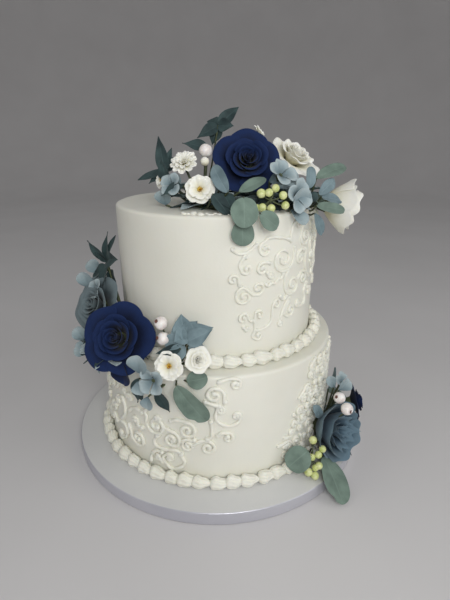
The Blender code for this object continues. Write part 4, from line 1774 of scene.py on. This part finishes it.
@dataclass
class Studio:
    """A pale floor that curves up into a backdrop all round, soft lamps and the camera.

    Attributes:
        eye: The camera's place.
        pitch: How far the camera looks down.
        roll: How far the camera turns about the vertical.
        lens: The camera's focal length in millimetres on a 36 mm sensor.
    """

    eye: tuple[float, float, float] = (0.0, -0.4287, 0.3073)
    pitch: float = 20.56
    roll: float = -1.08
    lens: float = 25.98

    def backdrop(self) -> None:
        """Makes the floor and the backdrop all round it in one wide dish."""
        bend, flat = 0.9, 2.2

        def surface(u: np.ndarray, v: np.ndarray) -> np.ndarray:
            """The dish's points.

            Args:
                u: Places across, from -1 to 1.
                v: Places along, from 0 to 1.

            Returns:
                The points.
            """
            run = v * (flat + bend * math.pi / 2 + 0.7)
            turn = np.clip((run - flat) / bend, 0, math.pi / 2)
            past = np.maximum(run - flat - bend * math.pi / 2, 0)
            out = np.minimum(run, flat) + bend * np.sin(turn)
            height = bend * (1 - np.cos(turn)) + past - 0.0004
            return np.stack([out * np.cos(math.pi * u), out * np.sin(math.pi * u), height], axis=1)

        sweep = sheet("sweep", 96, 60, surface, Finish.ICING)
        sweep.data.materials.clear()
        weave = Weave("studio_paper")
        grain = weave.noise("Object", 5.0, 2.0)
        weave.link(weave.ramp(grain, ((0.3, linear(205, 203, 203)), (0.7, linear(209, 207, 207)))),
                   weave.shader.inputs["Base Color"])
        weave.set(Roughness=0.9)
        sweep.data.materials.append(weave.material)
        hold(sweep)
        bpy.ops.object.shade_smooth()

    def lamp(self, name: str, place: tuple[float, float, float], power: float, size: float) -> None:
        """Adds a soft square lamp that looks at the cake.

        Args:
            name: The name.
            place: The lamp's place.
            power: Its power in watts.
            size: The side of the square.
        """
        aim = Vector((0, 0, 0.15)) - Vector(place)
        clear_selection()
        bpy.ops.object.light_add(type="AREA", location=place,
                                 rotation=aim.to_track_quat("-Z", "Y").to_euler())
        made = bpy.context.active_object
        made.name = name
        made.data.energy = power
        made.data.size = size

    def build(self) -> None:
        """Sets up the sweep, lamps, surroundings and camera."""
        self.backdrop()
        self.lamp("front_lamp", (0.14, -0.9, 0.6), 5.0, 0.45)
        self.lamp("right_lamp", (1.2, -0.6, 0.8), 3.6, 0.9)
        self.lamp("left_lamp", (-1.2, -0.4, 0.9), 1.4, 0.9)
        world = bpy.data.worlds.new("soft_room")
        bpy.context.scene.world = world
        world.use_nodes = True
        world.node_tree.nodes["Background"].inputs["Color"].default_value = (1, 1, 1, 1)
        world.node_tree.nodes["Background"].inputs["Strength"].default_value = 0.3
        clear_selection()
        bpy.ops.object.camera_add(location=self.eye,
                                  rotation=(math.radians(90 - self.pitch), 0, math.radians(self.roll)))
        camera = bpy.context.active_object
        camera.data.lens = self.lens
        camera.data.sensor_width = 36.0
        camera.data.clip_start = 0.01
        bpy.context.scene.camera = camera
        bpy.context.scene.view_settings.view_transform = "Standard"


# ---------------------------------------------------------------- the cake


def blooms() -> list[Bloom]:
    """Every open flower of the three groups.

    Returns:
        The blooms.
    """
    navy, white = 0.0295, 0.0215
    return [
        Bloom("top_navy_rose_petals", "top_navy_rose", (3, 30), rose_rows(navy, 0.02), Finish.NAVY,
              "navy_petal", 1, roll=20),
        Bloom("left_navy_rose_petals", "left_navy_rose", (-14, 30), rose_rows(navy, 0.02), Finish.NAVY,
              "navy_petal", 2, roll=70, grow=1.12, at=direction(-14, 30) * 0.004),
        Bloom("right_navy_rose_petals", "right_navy_rose", (85, 12), rose_rows(0.02, 0.02), Finish.NAVY,
              "navy_petal", 3),
        Bloom("left_slate_rose_petals", "left_slate_rose", (-38, 28), rose_rows(0.024, 0.03), Finish.STONE,
              "slate_petal", 4, grow=1.3),
        Bloom("right_slate_peony_petals", "right_slate_peony", (38, 14), peony_rows(0.0255), Finish.SLATE,
              "slate_petal", 5, columns=14, grow=1.18),
        Bloom("top_white_rose_petals", "top_white_rose", (48, 52), rose_rows(white, 0.07), Finish.WHITE,
              "white_petal", 6, columns=12, grow=1.28),
        Bloom("top_side_white_rose_petals", "top_side_white_rose", (88, -10), peony_rows(white), Finish.WHITE,
              "white_petal", 7, columns=14, grow=1.28, at=Vector((-0.008, -0.003, 0.0))),
        Bloom("left_small_rose_petals", "left_small_rose", (18, 25), rose_rows(0.0115, 0.06, 84),
              Finish.WHITE,
              "white_petal", 8, thickness=0.0003),
        Bloom("top_open_blossom_petals", "top_open_blossom", (0, 20), blossom_rows(0.013), Finish.WHITE,
              "white_petal", 9, stamens=0.0026),
        Bloom("left_open_blossom_petals", "left_open_blossom", (-12, 20), blossom_rows(0.013), Finish.WHITE,
              "white_petal", 10, stamens=0.0026),
        Bloom("top_ruffled_blossom_petals", "top_ruffled_blossom", (-15, 45), ruffled_rows(0.0125),
              Finish.WHITE,
              "white_petal", 11, columns=12, thickness=0.0003),
        Bloom("top_side_blossom_petals", "top_side_blossom", (-55, 15), blossom_rows(0.008), Finish.WHITE,
              "white_petal", 12, stamens=0.0018, thickness=0.0003),
        Bloom("top_rear_blossom_petals", "top_rear_blossom", (75, 40), blossom_rows(0.0078), Finish.WHITE,
              "white_petal", 13, stamens=0.0018, thickness=0.0003),
    ]


def loose_petals() -> list[Frond]:
    """The hydrangea petals tucked in among the flowers: name, tip, face, length, width and droop.

    Returns:
        The petals, one frond each.
    """
    rows = (
        ("top_blue_petal_upper", (75, 15), (20, 45), 0.026, 0.018, 30),
        ("top_blue_petal_lower", (30, 60), (35, 0), 0.022, 0.018, 12),
        ("top_blue_petal_edge", (60, -30), (35, 20), 0.018, 0.011, 20),
        ("top_blue_petal_left", (-20, 75), (-20, 0), 0.014, 0.015, 12),
        ("top_blue_petal_dark", (0, 70), (-20, 0), 0.014, 0.012, 12),
        ("left_blue_petal_upper", (-60, 65), (-15, 10), 0.02, 0.015, 12),
        ("left_blue_petal_crown", (-80, 50), (-10, 15), 0.016, 0.014, 12),
        ("left_blue_petal_side", (-90, 60), (-20, 25), 0.017, 0.014, 12),
        ("left_blue_petal_outer", (-95, 5), (-15, 30), 0.018, 0.014, 12),
        ("left_pale_petal", (-10, 75), (-25, -5), 0.02, 0.018, 12),
        ("left_pale_petal_low", (-28, -60), (-28, 20), 0.014, 0.013, 12),
        ("left_pale_petal_foot", (-28, -75), (-28, 10), 0.013, 0.012, 12),
        ("right_blue_petal_upper", (80, 50), (20, 10), 0.015, 0.012, 12),
        ("right_blue_petal_inner", (-60, 65), (10, 10), 0.016, 0.009, 12),
    )
    return [Frond(f"{node}_blade", node, "dusty_petal",
                  [Leaf(tip, face, length, width, Outline.PETAL, Finish.DUSTY, droop, 0.34, 0.0009, number)])
            for number, (node, tip, face, length, width, droop) in enumerate(rows)]


def leaves() -> list[Frond]:
    """The single leaves: node, tip, face, length, width, outline, finish, slot and droop.

    Returns:
        The leaves, one frond each.
    """
    gum, teal, dusty = Finish.EUCALYPTUS, Finish.TEAL, Finish.BLUE_LEAF
    long, wide, pointed = Outline.LONG, Outline.ROUND, Outline.POINTED
    rows = (
        ("top_eucalyptus_front", (5, -57), (8, 32), 0.026, 0.02, wide, gum, "eucalyptus", 12),
        ("top_eucalyptus_under", (0, -84), (11, 5), 0.023, 0.017, long, gum, "eucalyptus", 12),
        ("top_eucalyptus_short", (97, -37), (22, 20), 0.02, 0.014, wide, gum, "eucalyptus", 12),
        ("top_eucalyptus_inner", (116, 23), (0, 50), 0.028, 0.01, long, gum, "eucalyptus", 12),
        ("top_eucalyptus_right", (118, 19), (10, 50), 0.036, 0.012, long, gum, "eucalyptus", 12),
        ("top_eucalyptus_upright", (150, 78), (20, 10), 0.018, 0.009, long, dusty, "dusty_petal", 12),
        ("top_blue_leaf", (123, 29), (20, 30), 0.024, 0.009, long, dusty, "dusty_petal", 12),
        ("top_blue_leaf_low", (118, -6), (20, 40), 0.025, 0.009, long, dusty, "dusty_petal", 12),
        ("top_teal_leaf", (110, -8), (20, 30), 0.031, 0.009, long, gum, "eucalyptus", 12),
        ("top_hanging_leaf", (109, -58), (30, 10), 0.023, 0.009, long, dusty, "dusty_petal", 12),
        ("top_dusty_leaf", (-139, 42), (-20, 20), 0.03, 0.011, long, dusty, "dusty_petal", 12),
        ("left_dark_leaf", (110, -76), (-30, 5), 0.022, 0.01, pointed, teal, "teal_leaf", 12),
        ("left_dark_leaf_right", (75, -62), (-22, 5), 0.024, 0.011, pointed, teal, "teal_leaf", 12),
        ("left_eucalyptus_long", (85, -60), (-12, 0), 0.046, 0.02, long, gum, "eucalyptus", 12),
        ("left_eucalyptus_short", (84, 14), (-8, 10), 0.019, 0.015, wide, gum, "eucalyptus", 12),
        ("right_eucalyptus_upper", (-75, -35), (30, 45), 0.027, 0.023, wide, gum, "eucalyptus", 12),
        ("right_eucalyptus_lower", (16, -25), (50, 60), 0.046, 0.024, long, gum, "eucalyptus", 8),
    )
    return [Frond(f"{node}_blade", node, slot,
                  [Leaf(tip, face, length, width, outline, finish, droop, seed=number,
                        notch=0.35 if node in ("left_eucalyptus_long", "right_eucalyptus_lower") else 0.0)])
            for number, (node, tip, face, length, width, outline, finish, slot, droop) in enumerate(rows)]


def sprays() -> list[Frond]:
    """The sprays of several leaves from one knot.

    Returns:
        The sprays.
    """
    teal, dusty = Finish.TEAL, Finish.BLUE_LEAF
    return [
        Frond("top_left_spray_blades", "top_left_spray", "teal_leaf", spray_leaves(
            (-20, 30), teal, ((-135, 75, 0.033, 0.0085), (128, 73, 0.023, 0.006), (-85, -7, 0.026, 0.006),
                              (-69, -25, 0.018, 0.007), (116, 43, 0.024, 0.008)), seed=1)),
        Frond("top_rear_spray_blades", "top_rear_spray", "teal_leaf", spray_leaves(
            (0, 20), teal, ((104, 40, 0.027, 0.0085), (64, -1, 0.015, 0.009), (-65, -24, 0.023, 0.008),
                            (-125, 20, 0.014, 0.009), (-47, -61, 0.018, 0.009)), seed=2)),
        Frond("left_teal_spray_blades", "left_teal_spray", "teal_leaf", spray_leaves(
            (-50, 20), teal, ((-168, 82, 0.03, 0.008), (121, 74, 0.028, 0.007), (-78, 46, 0.028, 0.008),
                              (-45, 32, 0.017, 0.007), (30, 19, 0.026, 0.012)), seed=3)),
        Frond("left_dusty_spray_blades", "left_dusty_spray", "dusty_petal", spray_leaves(
            (-5, 25), dusty, ((-138, 77, 0.019, 0.012), (105, 47, 0.017, 0.01), (90, 15, 0.026, 0.011),
                              (87, -8, 0.017, 0.009), (-40, -5, 0.012, 0.01)), seed=4)),
    ]


def berries() -> list[Berry | BerryBunch]:
    """The white berries and the two bunches of small green berries.

    Returns:
        The berries and bunches.
    """
    return [
        Berry("top_white_berry_skin", "top_white_berry", (170, 10)),
        Berry("left_upper_berry_skin", "left_upper_berry", (-40, 35)),
        Berry("left_lower_berry_skin", "left_lower_berry", (-60, 20)),
        Berry("right_inner_berry_skin", "right_inner_berry", (-50, 30)),
        Berry("right_outer_berry_skin", "right_outer_berry", (25, 5)),
        BerryBunch("top_green_berry_bunch", "top_green_berries", (
            (-0.0074, 0, 0.005), (-0.0017, -0.002, 0.0058), (0.0036, 0.001, 0.0088), (0.0094, -0.001, 0.0036),
            (0.0118, 0.001, -0.0043), (0.0004, -0.002, -0.0061), (-0.0062, 0.001, -0.006),
            (-0.0104, 0.002, -0.0064)), 0.0033),
        BerryBunch("right_green_berry_bunch", "right_green_berries", (
            (0.001, 0.008, 0.015), (0.0095, 0.004, 0.008), (0.005, 0, 0.005), (-0.001, -0.001, 0.003),
            (-0.0055, -0.002, -0.001), (0.0055, -0.003, -0.005), (0.002, -0.004, -0.0065),
            (-0.0045, -0.006, -0.0095), (0.0015, -0.008, -0.012)), 0.0036),
    ]


def florets() -> list[Bloom]:
    """The hydrangea florets among the named petals: name, place, look and radius.

    Returns:
        The florets.
    """
    rows = (
        ("left_floret", around(-23.7, 0.13, 0.1215), (-24, 5), 0.0135),
        ("left_floret_outer", around(-71, 0.136, 0.118), (-80, 5), 0.0115),
        ("left_floret_low", around(-56, 0.132, 0.113), (-60, -20), 0.0095),
        ("left_floret_high", around(-74, 0.12, 0.169), (-50, 30), 0.012),
        ("left_floret_back", around(-92, 0.123, 0.144), (-105, 30), 0.013),
        ("top_floret_front", around(39.5, 0.0985, 0.263), (38, 12), 0.0145),
        ("top_floret_high", around(34.5, 0.089, 0.279), (30, 40), 0.0135),
        ("top_floret_left", around(-34, 0.066, 0.269), (-28, 25), 0.011),
        ("top_floret_back", around(100, 0.038, 0.264), (160, 35), 0.014),
        ("top_floret_rear", around(160, 0.018, 0.266), (180, 40), 0.014),
        ("right_floret", around(70, 0.134, 0.072), (45, 45), 0.011),
        ("right_floret_back", around(86, 0.134, 0.03), (110, 25), 0.013),
    )
    return [Bloom(f"{name}_petals", "", look, floret_rows(radius), Finish.DUSTY, "dusty_petal", 40 + number,
                  at=place_of, roll=37 * number, loose=0.08)
            for number, (name, place_of, look, radius) in enumerate(rows)]


def extra_leaves() -> list[Frond]:
    """Leaves and petals that fill the groups between the named ones.

    Returns:
        The fillers.
    """
    teal, dusty, gum = Finish.TEAL, Finish.BLUE_LEAF, Finish.EUCALYPTUS
    pointed, wide, long = Outline.POINTED, Outline.ROUND, Outline.LONG
    made = [
        Frond("left_hanging_petal", "", "navy_petal", [
            Leaf((-20, -80), (-38, 15), 0.02, 0.019, wide, Finish.NAVY, 10, 0.3, 0.001, 1,
                 around(-39, 0.129, 0.127))]),
        Frond("left_dusty_leaves", "", "dusty_petal", [
            Leaf((-150, 55), (-10, 25), 0.019, 0.012, pointed, dusty, 14, 0.3, 0.001, 2,
                 around(-15, 0.113, 0.15)),
            Leaf((-95, 5), (-10, 30), 0.015, 0.012, wide, dusty, 20, 0.3, 0.001, 3,
                 around(-14.5, 0.114, 0.151)),
            Leaf((-60, -50), (-10, 20), 0.015, 0.011, wide, dusty, 20, 0.3, 0.001, 4,
                 around(-14, 0.115, 0.15)),
            Leaf((80, 30), (-5, 30), 0.024, 0.013, pointed, dusty, 16, 0.3, 0.0012, 5,
                 around(-13, 0.112, 0.151)),
            Leaf((100, -25), (0, 30), 0.018, 0.01, pointed, dusty, 20, 0.3, 0.0012, 6,
                 around(-12, 0.114, 0.149)),
        ]),
        Frond("left_dark_leaves", "", "teal_leaf", [
            Leaf((-80, -8), (-15, 40), 0.02, 0.008, pointed, teal, 14, 0.3, 0.0008, 7,
                 around(-15, 0.117, 0.147)),
            Leaf((-60, -62), (-60, 10), 0.02, 0.014, wide, teal, 14, 0.3, 0.0008, 8,
                 around(-75, 0.108, 0.192)),
            Leaf((-100, -40), (-60, 30), 0.022, 0.013, wide, teal, 14, 0.3, 0.0008, 9,
                 around(-80, 0.11, 0.19)),
            Leaf((20, -50), (-45, 20), 0.018, 0.012, wide, teal, 14, 0.3, 0.0008, 10,
                 around(-76, 0.106, 0.188)),
            Leaf((-60, -80), (-40, 0), 0.024, 0.011, pointed, teal, 14, 0.3, 0.0008, 11,
                 around(-31, 0.129, 0.118)),
            Leaf((-110, 20), (-70, 30), 0.022, 0.01, pointed, teal, 14, 0.3, 0.0008, 12,
                 around(-84, 0.118, 0.15)),
            Leaf((-130, 50), (-100, 10), 0.026, 0.01, pointed, teal, 14, 0.3, 0.0008, 13,
                 around(-92, 0.114, 0.156)),
        ]),
        Frond("top_dark_leaves", "", "teal_leaf", [
            Leaf((60, -46), (5, 25), 0.024, 0.01, pointed, teal, 12, 0.3, 0.0008, 14,
                 around(-2, 0.084, 0.266)),
            Leaf((20, -30), (0, 40), 0.018, 0.01, wide, teal, 12, 0.3, 0.0008, 15, around(4, 0.076, 0.266)),
            Leaf((-100, 14), (-30, 40), 0.023, 0.009, pointed, teal, 12, 0.3, 0.0008, 16,
                 around(-10, 0.042, 0.299)),
            Leaf((-80, -20), (-20, 40), 0.02, 0.009, pointed, teal, 12, 0.3, 0.0008, 17,
                 around(-26, 0.064, 0.27)),
            Leaf((-30, 72), (-30, 0), 0.02, 0.01, pointed, teal, 12, 0.3, 0.0008, 18,
                 around(-44, 0.062, 0.272)),
            Leaf((150, 40), (60, 60), 0.028, 0.011, long, teal, 12, 0.3, 0.0008, 19, around(60, 0.04, 0.278)),
            Leaf((-170, 30), (180, 60), 0.028, 0.011, long, teal, 12, 0.3, 0.0008, 20,
                 around(20, 0.026, 0.274)),
        ]),
        Frond("top_gum_leaves", "", "eucalyptus", [
            Leaf((120, -10), (90, 60), 0.03, 0.016, wide, gum, 14, 0.2, 0.0008, 21, around(80, 0.064, 0.26)),
            Leaf((170, 6), (170, 80), 0.03, 0.016, wide, gum, 14, 0.2, 0.0008, 22, around(60, 0.03, 0.26)),
            Leaf((-150, 10), (-150, 80), 0.028, 0.014, long, gum, 14, 0.2, 0.0008, 23,
                 around(-40, 0.03, 0.26)),
            Leaf((96, -30), (60, 40), 0.022, 0.012, wide, gum, 14, 0.2, 0.0008, 24, around(56, 0.096, 0.262)),
        ]),
        Frond("right_leaves", "", "eucalyptus", [
            Leaf((100, -16), (100, 60), 0.026, 0.018, wide, gum, 14, 0.2, 0.0008, 25,
                 around(92, 0.128, 0.03)),
            Leaf((-40, 60), (20, 10), 0.022, 0.008, long, dusty, 14, 0.2, 0.0008, 26,
                 around(50, 0.128, 0.056)),
            Leaf((140, 46), (110, 20), 0.026, 0.012, long, dusty, 14, 0.2, 0.0008, 27,
                 around(84, 0.124, 0.044)),
        ]),
    ]
    return made


@dataclass
class Undergrowth:
    """Small leaves that fill the middle of a group, under the flowers.

    Attributes:
        name: The piece's name.
        middle: The group's middle.
        reach: Its half sizes along X, Y and Z.
        count: How many leaves.
        finish: Their finish.
        slot: The record's material slot; not used.
        seed: Varies them.
    """

    name: str
    middle: Vector
    reach: Vector
    count: int
    finish: Finish
    slot: str
    seed: int

    def build(self) -> bpy.types.Object:
        """Makes the leaves and hands them over.

        Returns:
            The finished piece.
        """
        rng = np.random.default_rng(SEED + 100 + self.seed)
        blades = []
        for number in range(self.count):
            heading = number * 137.5 + 40 * self.seed
            tilt = math.degrees(math.asin(0.02 + 0.86 * (number + 0.5) / self.count))
            out = direction(heading, tilt)
            span = Vector([part * size for part, size in zip(out, self.reach)])
            foot = self.middle + span * 0.22
            tip = (heading + rng.uniform(-24, 24), tilt * 0.7 + rng.uniform(-8, 8))
            face = (heading + rng.uniform(-40, 40), tilt + 62)
            leaf = Leaf(tip, face, span.length * 0.8, min(0.015, span.length * 0.42),
                        Outline.POINTED if number % 3 else Outline.ROUND, self.finish, 24, 0.3, 0.001,
                        200 + 17 * self.seed + number, foot)
            blades.append(leaf.blade(self.name))
        whole = joined(blades, self.name)
        deliver(whole)
        return whole


def undergrowth() -> list[Undergrowth]:
    """The fillers of the three groups.

    Returns:
        The undergrowth.
    """
    rows = (
        ("top_left_filler", Vector((-0.004, -0.044, 0.251)), Vector((0.046, 0.026, 0.03)), 16),
        ("top_right_filler", Vector((0.056, -0.036, 0.251)), Vector((0.044, 0.034, 0.032)), 18),
        ("left_filler", Vector((-0.09, -0.068, 0.1235)), Vector((0.036, 0.038, 0.034)), 18),
        ("right_filler", Vector((0.116, -0.056, 0.014)), Vector((0.026, 0.034, 0.04)), 16),
    )
    finishes = ((Finish.TEAL, "teal_leaf"), (Finish.DUSTY, "dusty_petal"))
    return [Undergrowth(f"{name}_{finish.name.lower()}", middle, reach, count, finish, slot,
                        2 * number + which)
            for number, (name, middle, reach, count) in enumerate(rows)
            for which, (finish, slot) in enumerate(finishes)]


@dataclass
class SmallThings:
    """The bud and the button of the top group, and the dabs of icing at its foot."""

    def bud(self) -> bpy.types.Object:
        """A closed white bud on its stalk.

        Returns:
            The bud's piece.
        """
        clear_selection()
        bpy.ops.mesh.primitive_uv_sphere_add(segments=16, ring_count=10, radius=0.0036,
                                             location=(-0.0095, -0.056, 0.289))
        ball = bpy.context.active_object
        ball.data.materials.append(Finish.WHITE.dress())
        whole = joined([ball, stem(Vector((-0.009, -0.055, 0.286)), 0.0007)], "top_white_bud")
        bpy.ops.object.transform_apply(location=True, rotation=True, scale=True)
        deliver(whole)
        return whole

    def button(self) -> bpy.types.Object:
        """A dark round seed head.

        Returns:
            The seed head's piece.
        """
        clear_selection()
        bpy.ops.mesh.primitive_uv_sphere_add(segments=18, ring_count=10, radius=0.0042,
                                             location=(0.079, -0.069, 0.262), scale=(1, 0.7, 1))
        ball = bpy.context.active_object
        ball.data.materials.append(Finish.TEAL.dress())
        whole = joined([ball, stem(Vector((0.078, -0.067, 0.26)), 0.0007)], "top_teal_button")
        bpy.ops.object.transform_apply(location=True, rotation=True, scale=True)
        deliver(whole)
        return whole

    def dabs(self) -> bpy.types.Object:
        """The dabs of piped icing that hold the stalks on top of the cake.

        Returns:
            The dabs' piece.
        """
        rng = np.random.default_rng(SEED + 9)
        made = []
        for number in range(16):
            spot = around(-19 + 1.9 * number + rng.uniform(-1, 1),
                          0.0875 + rng.uniform(-0.0035, 0.0025), 0.2508)
            size = rng.uniform(0.0012, 0.0025)
            clear_selection()
            bpy.ops.mesh.primitive_uv_sphere_add(segments=14, ring_count=8, radius=size, location=spot,
                                                 scale=(rng.uniform(1.0, 1.7), 1, 0.75))
            dab = bpy.context.active_object
            dab.data.materials.append(Finish.PIPING.dress())
            made.append(dab)
        whole = joined(made, "top_icing_dabs")
        bpy.ops.object.transform_apply(location=True, rotation=True, scale=True)
        deliver(whole)
        return whole

    def build(self) -> None:
        """Makes them all."""
        self.bud()
        self.button()
        self.dabs()


def main() -> None:
    """Builds the whole scene."""
    logging.basicConfig(level=logging.INFO)
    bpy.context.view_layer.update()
    Board().build()
    Tier("bottom_tier_icing", "bottom_tier", 0.1175, 0.0127, 0.123, seed=1).build()
    Tier("top_tier_icing", "top_tier", 0.096, 0.123, 0.251, seed=2).build()
    ShellBorder("bottom_shells", "bottom_shell_border", 0.1175, 0.013, 53, seed=3).build()
    ShellBorder("top_shells", "top_shell_border", 0.096, 0.1233, 46, seed=4).build()
    ScrollWork("top_tier_scrolls", 0.096, top_scrolls(), seed=5).build()
    ScrollWork("lower_left_scroll_work", 0.1175, lower_left_scrolls(), 0.0017, 0.4, seed=6).build()
    ScrollWork("lower_right_scroll_work", 0.1175, lower_right_scrolls(), 0.00155, 0.5, seed=7).build()
    groups = (blooms(), loose_petals(), leaves(), sprays(), berries(), florets(), extra_leaves(),
              undergrowth())
    for group in groups:
        for piece in group:
            piece.build()
    SmallThings().build()
    Studio().build()
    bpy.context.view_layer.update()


if __name__ == "__main__":
    main()
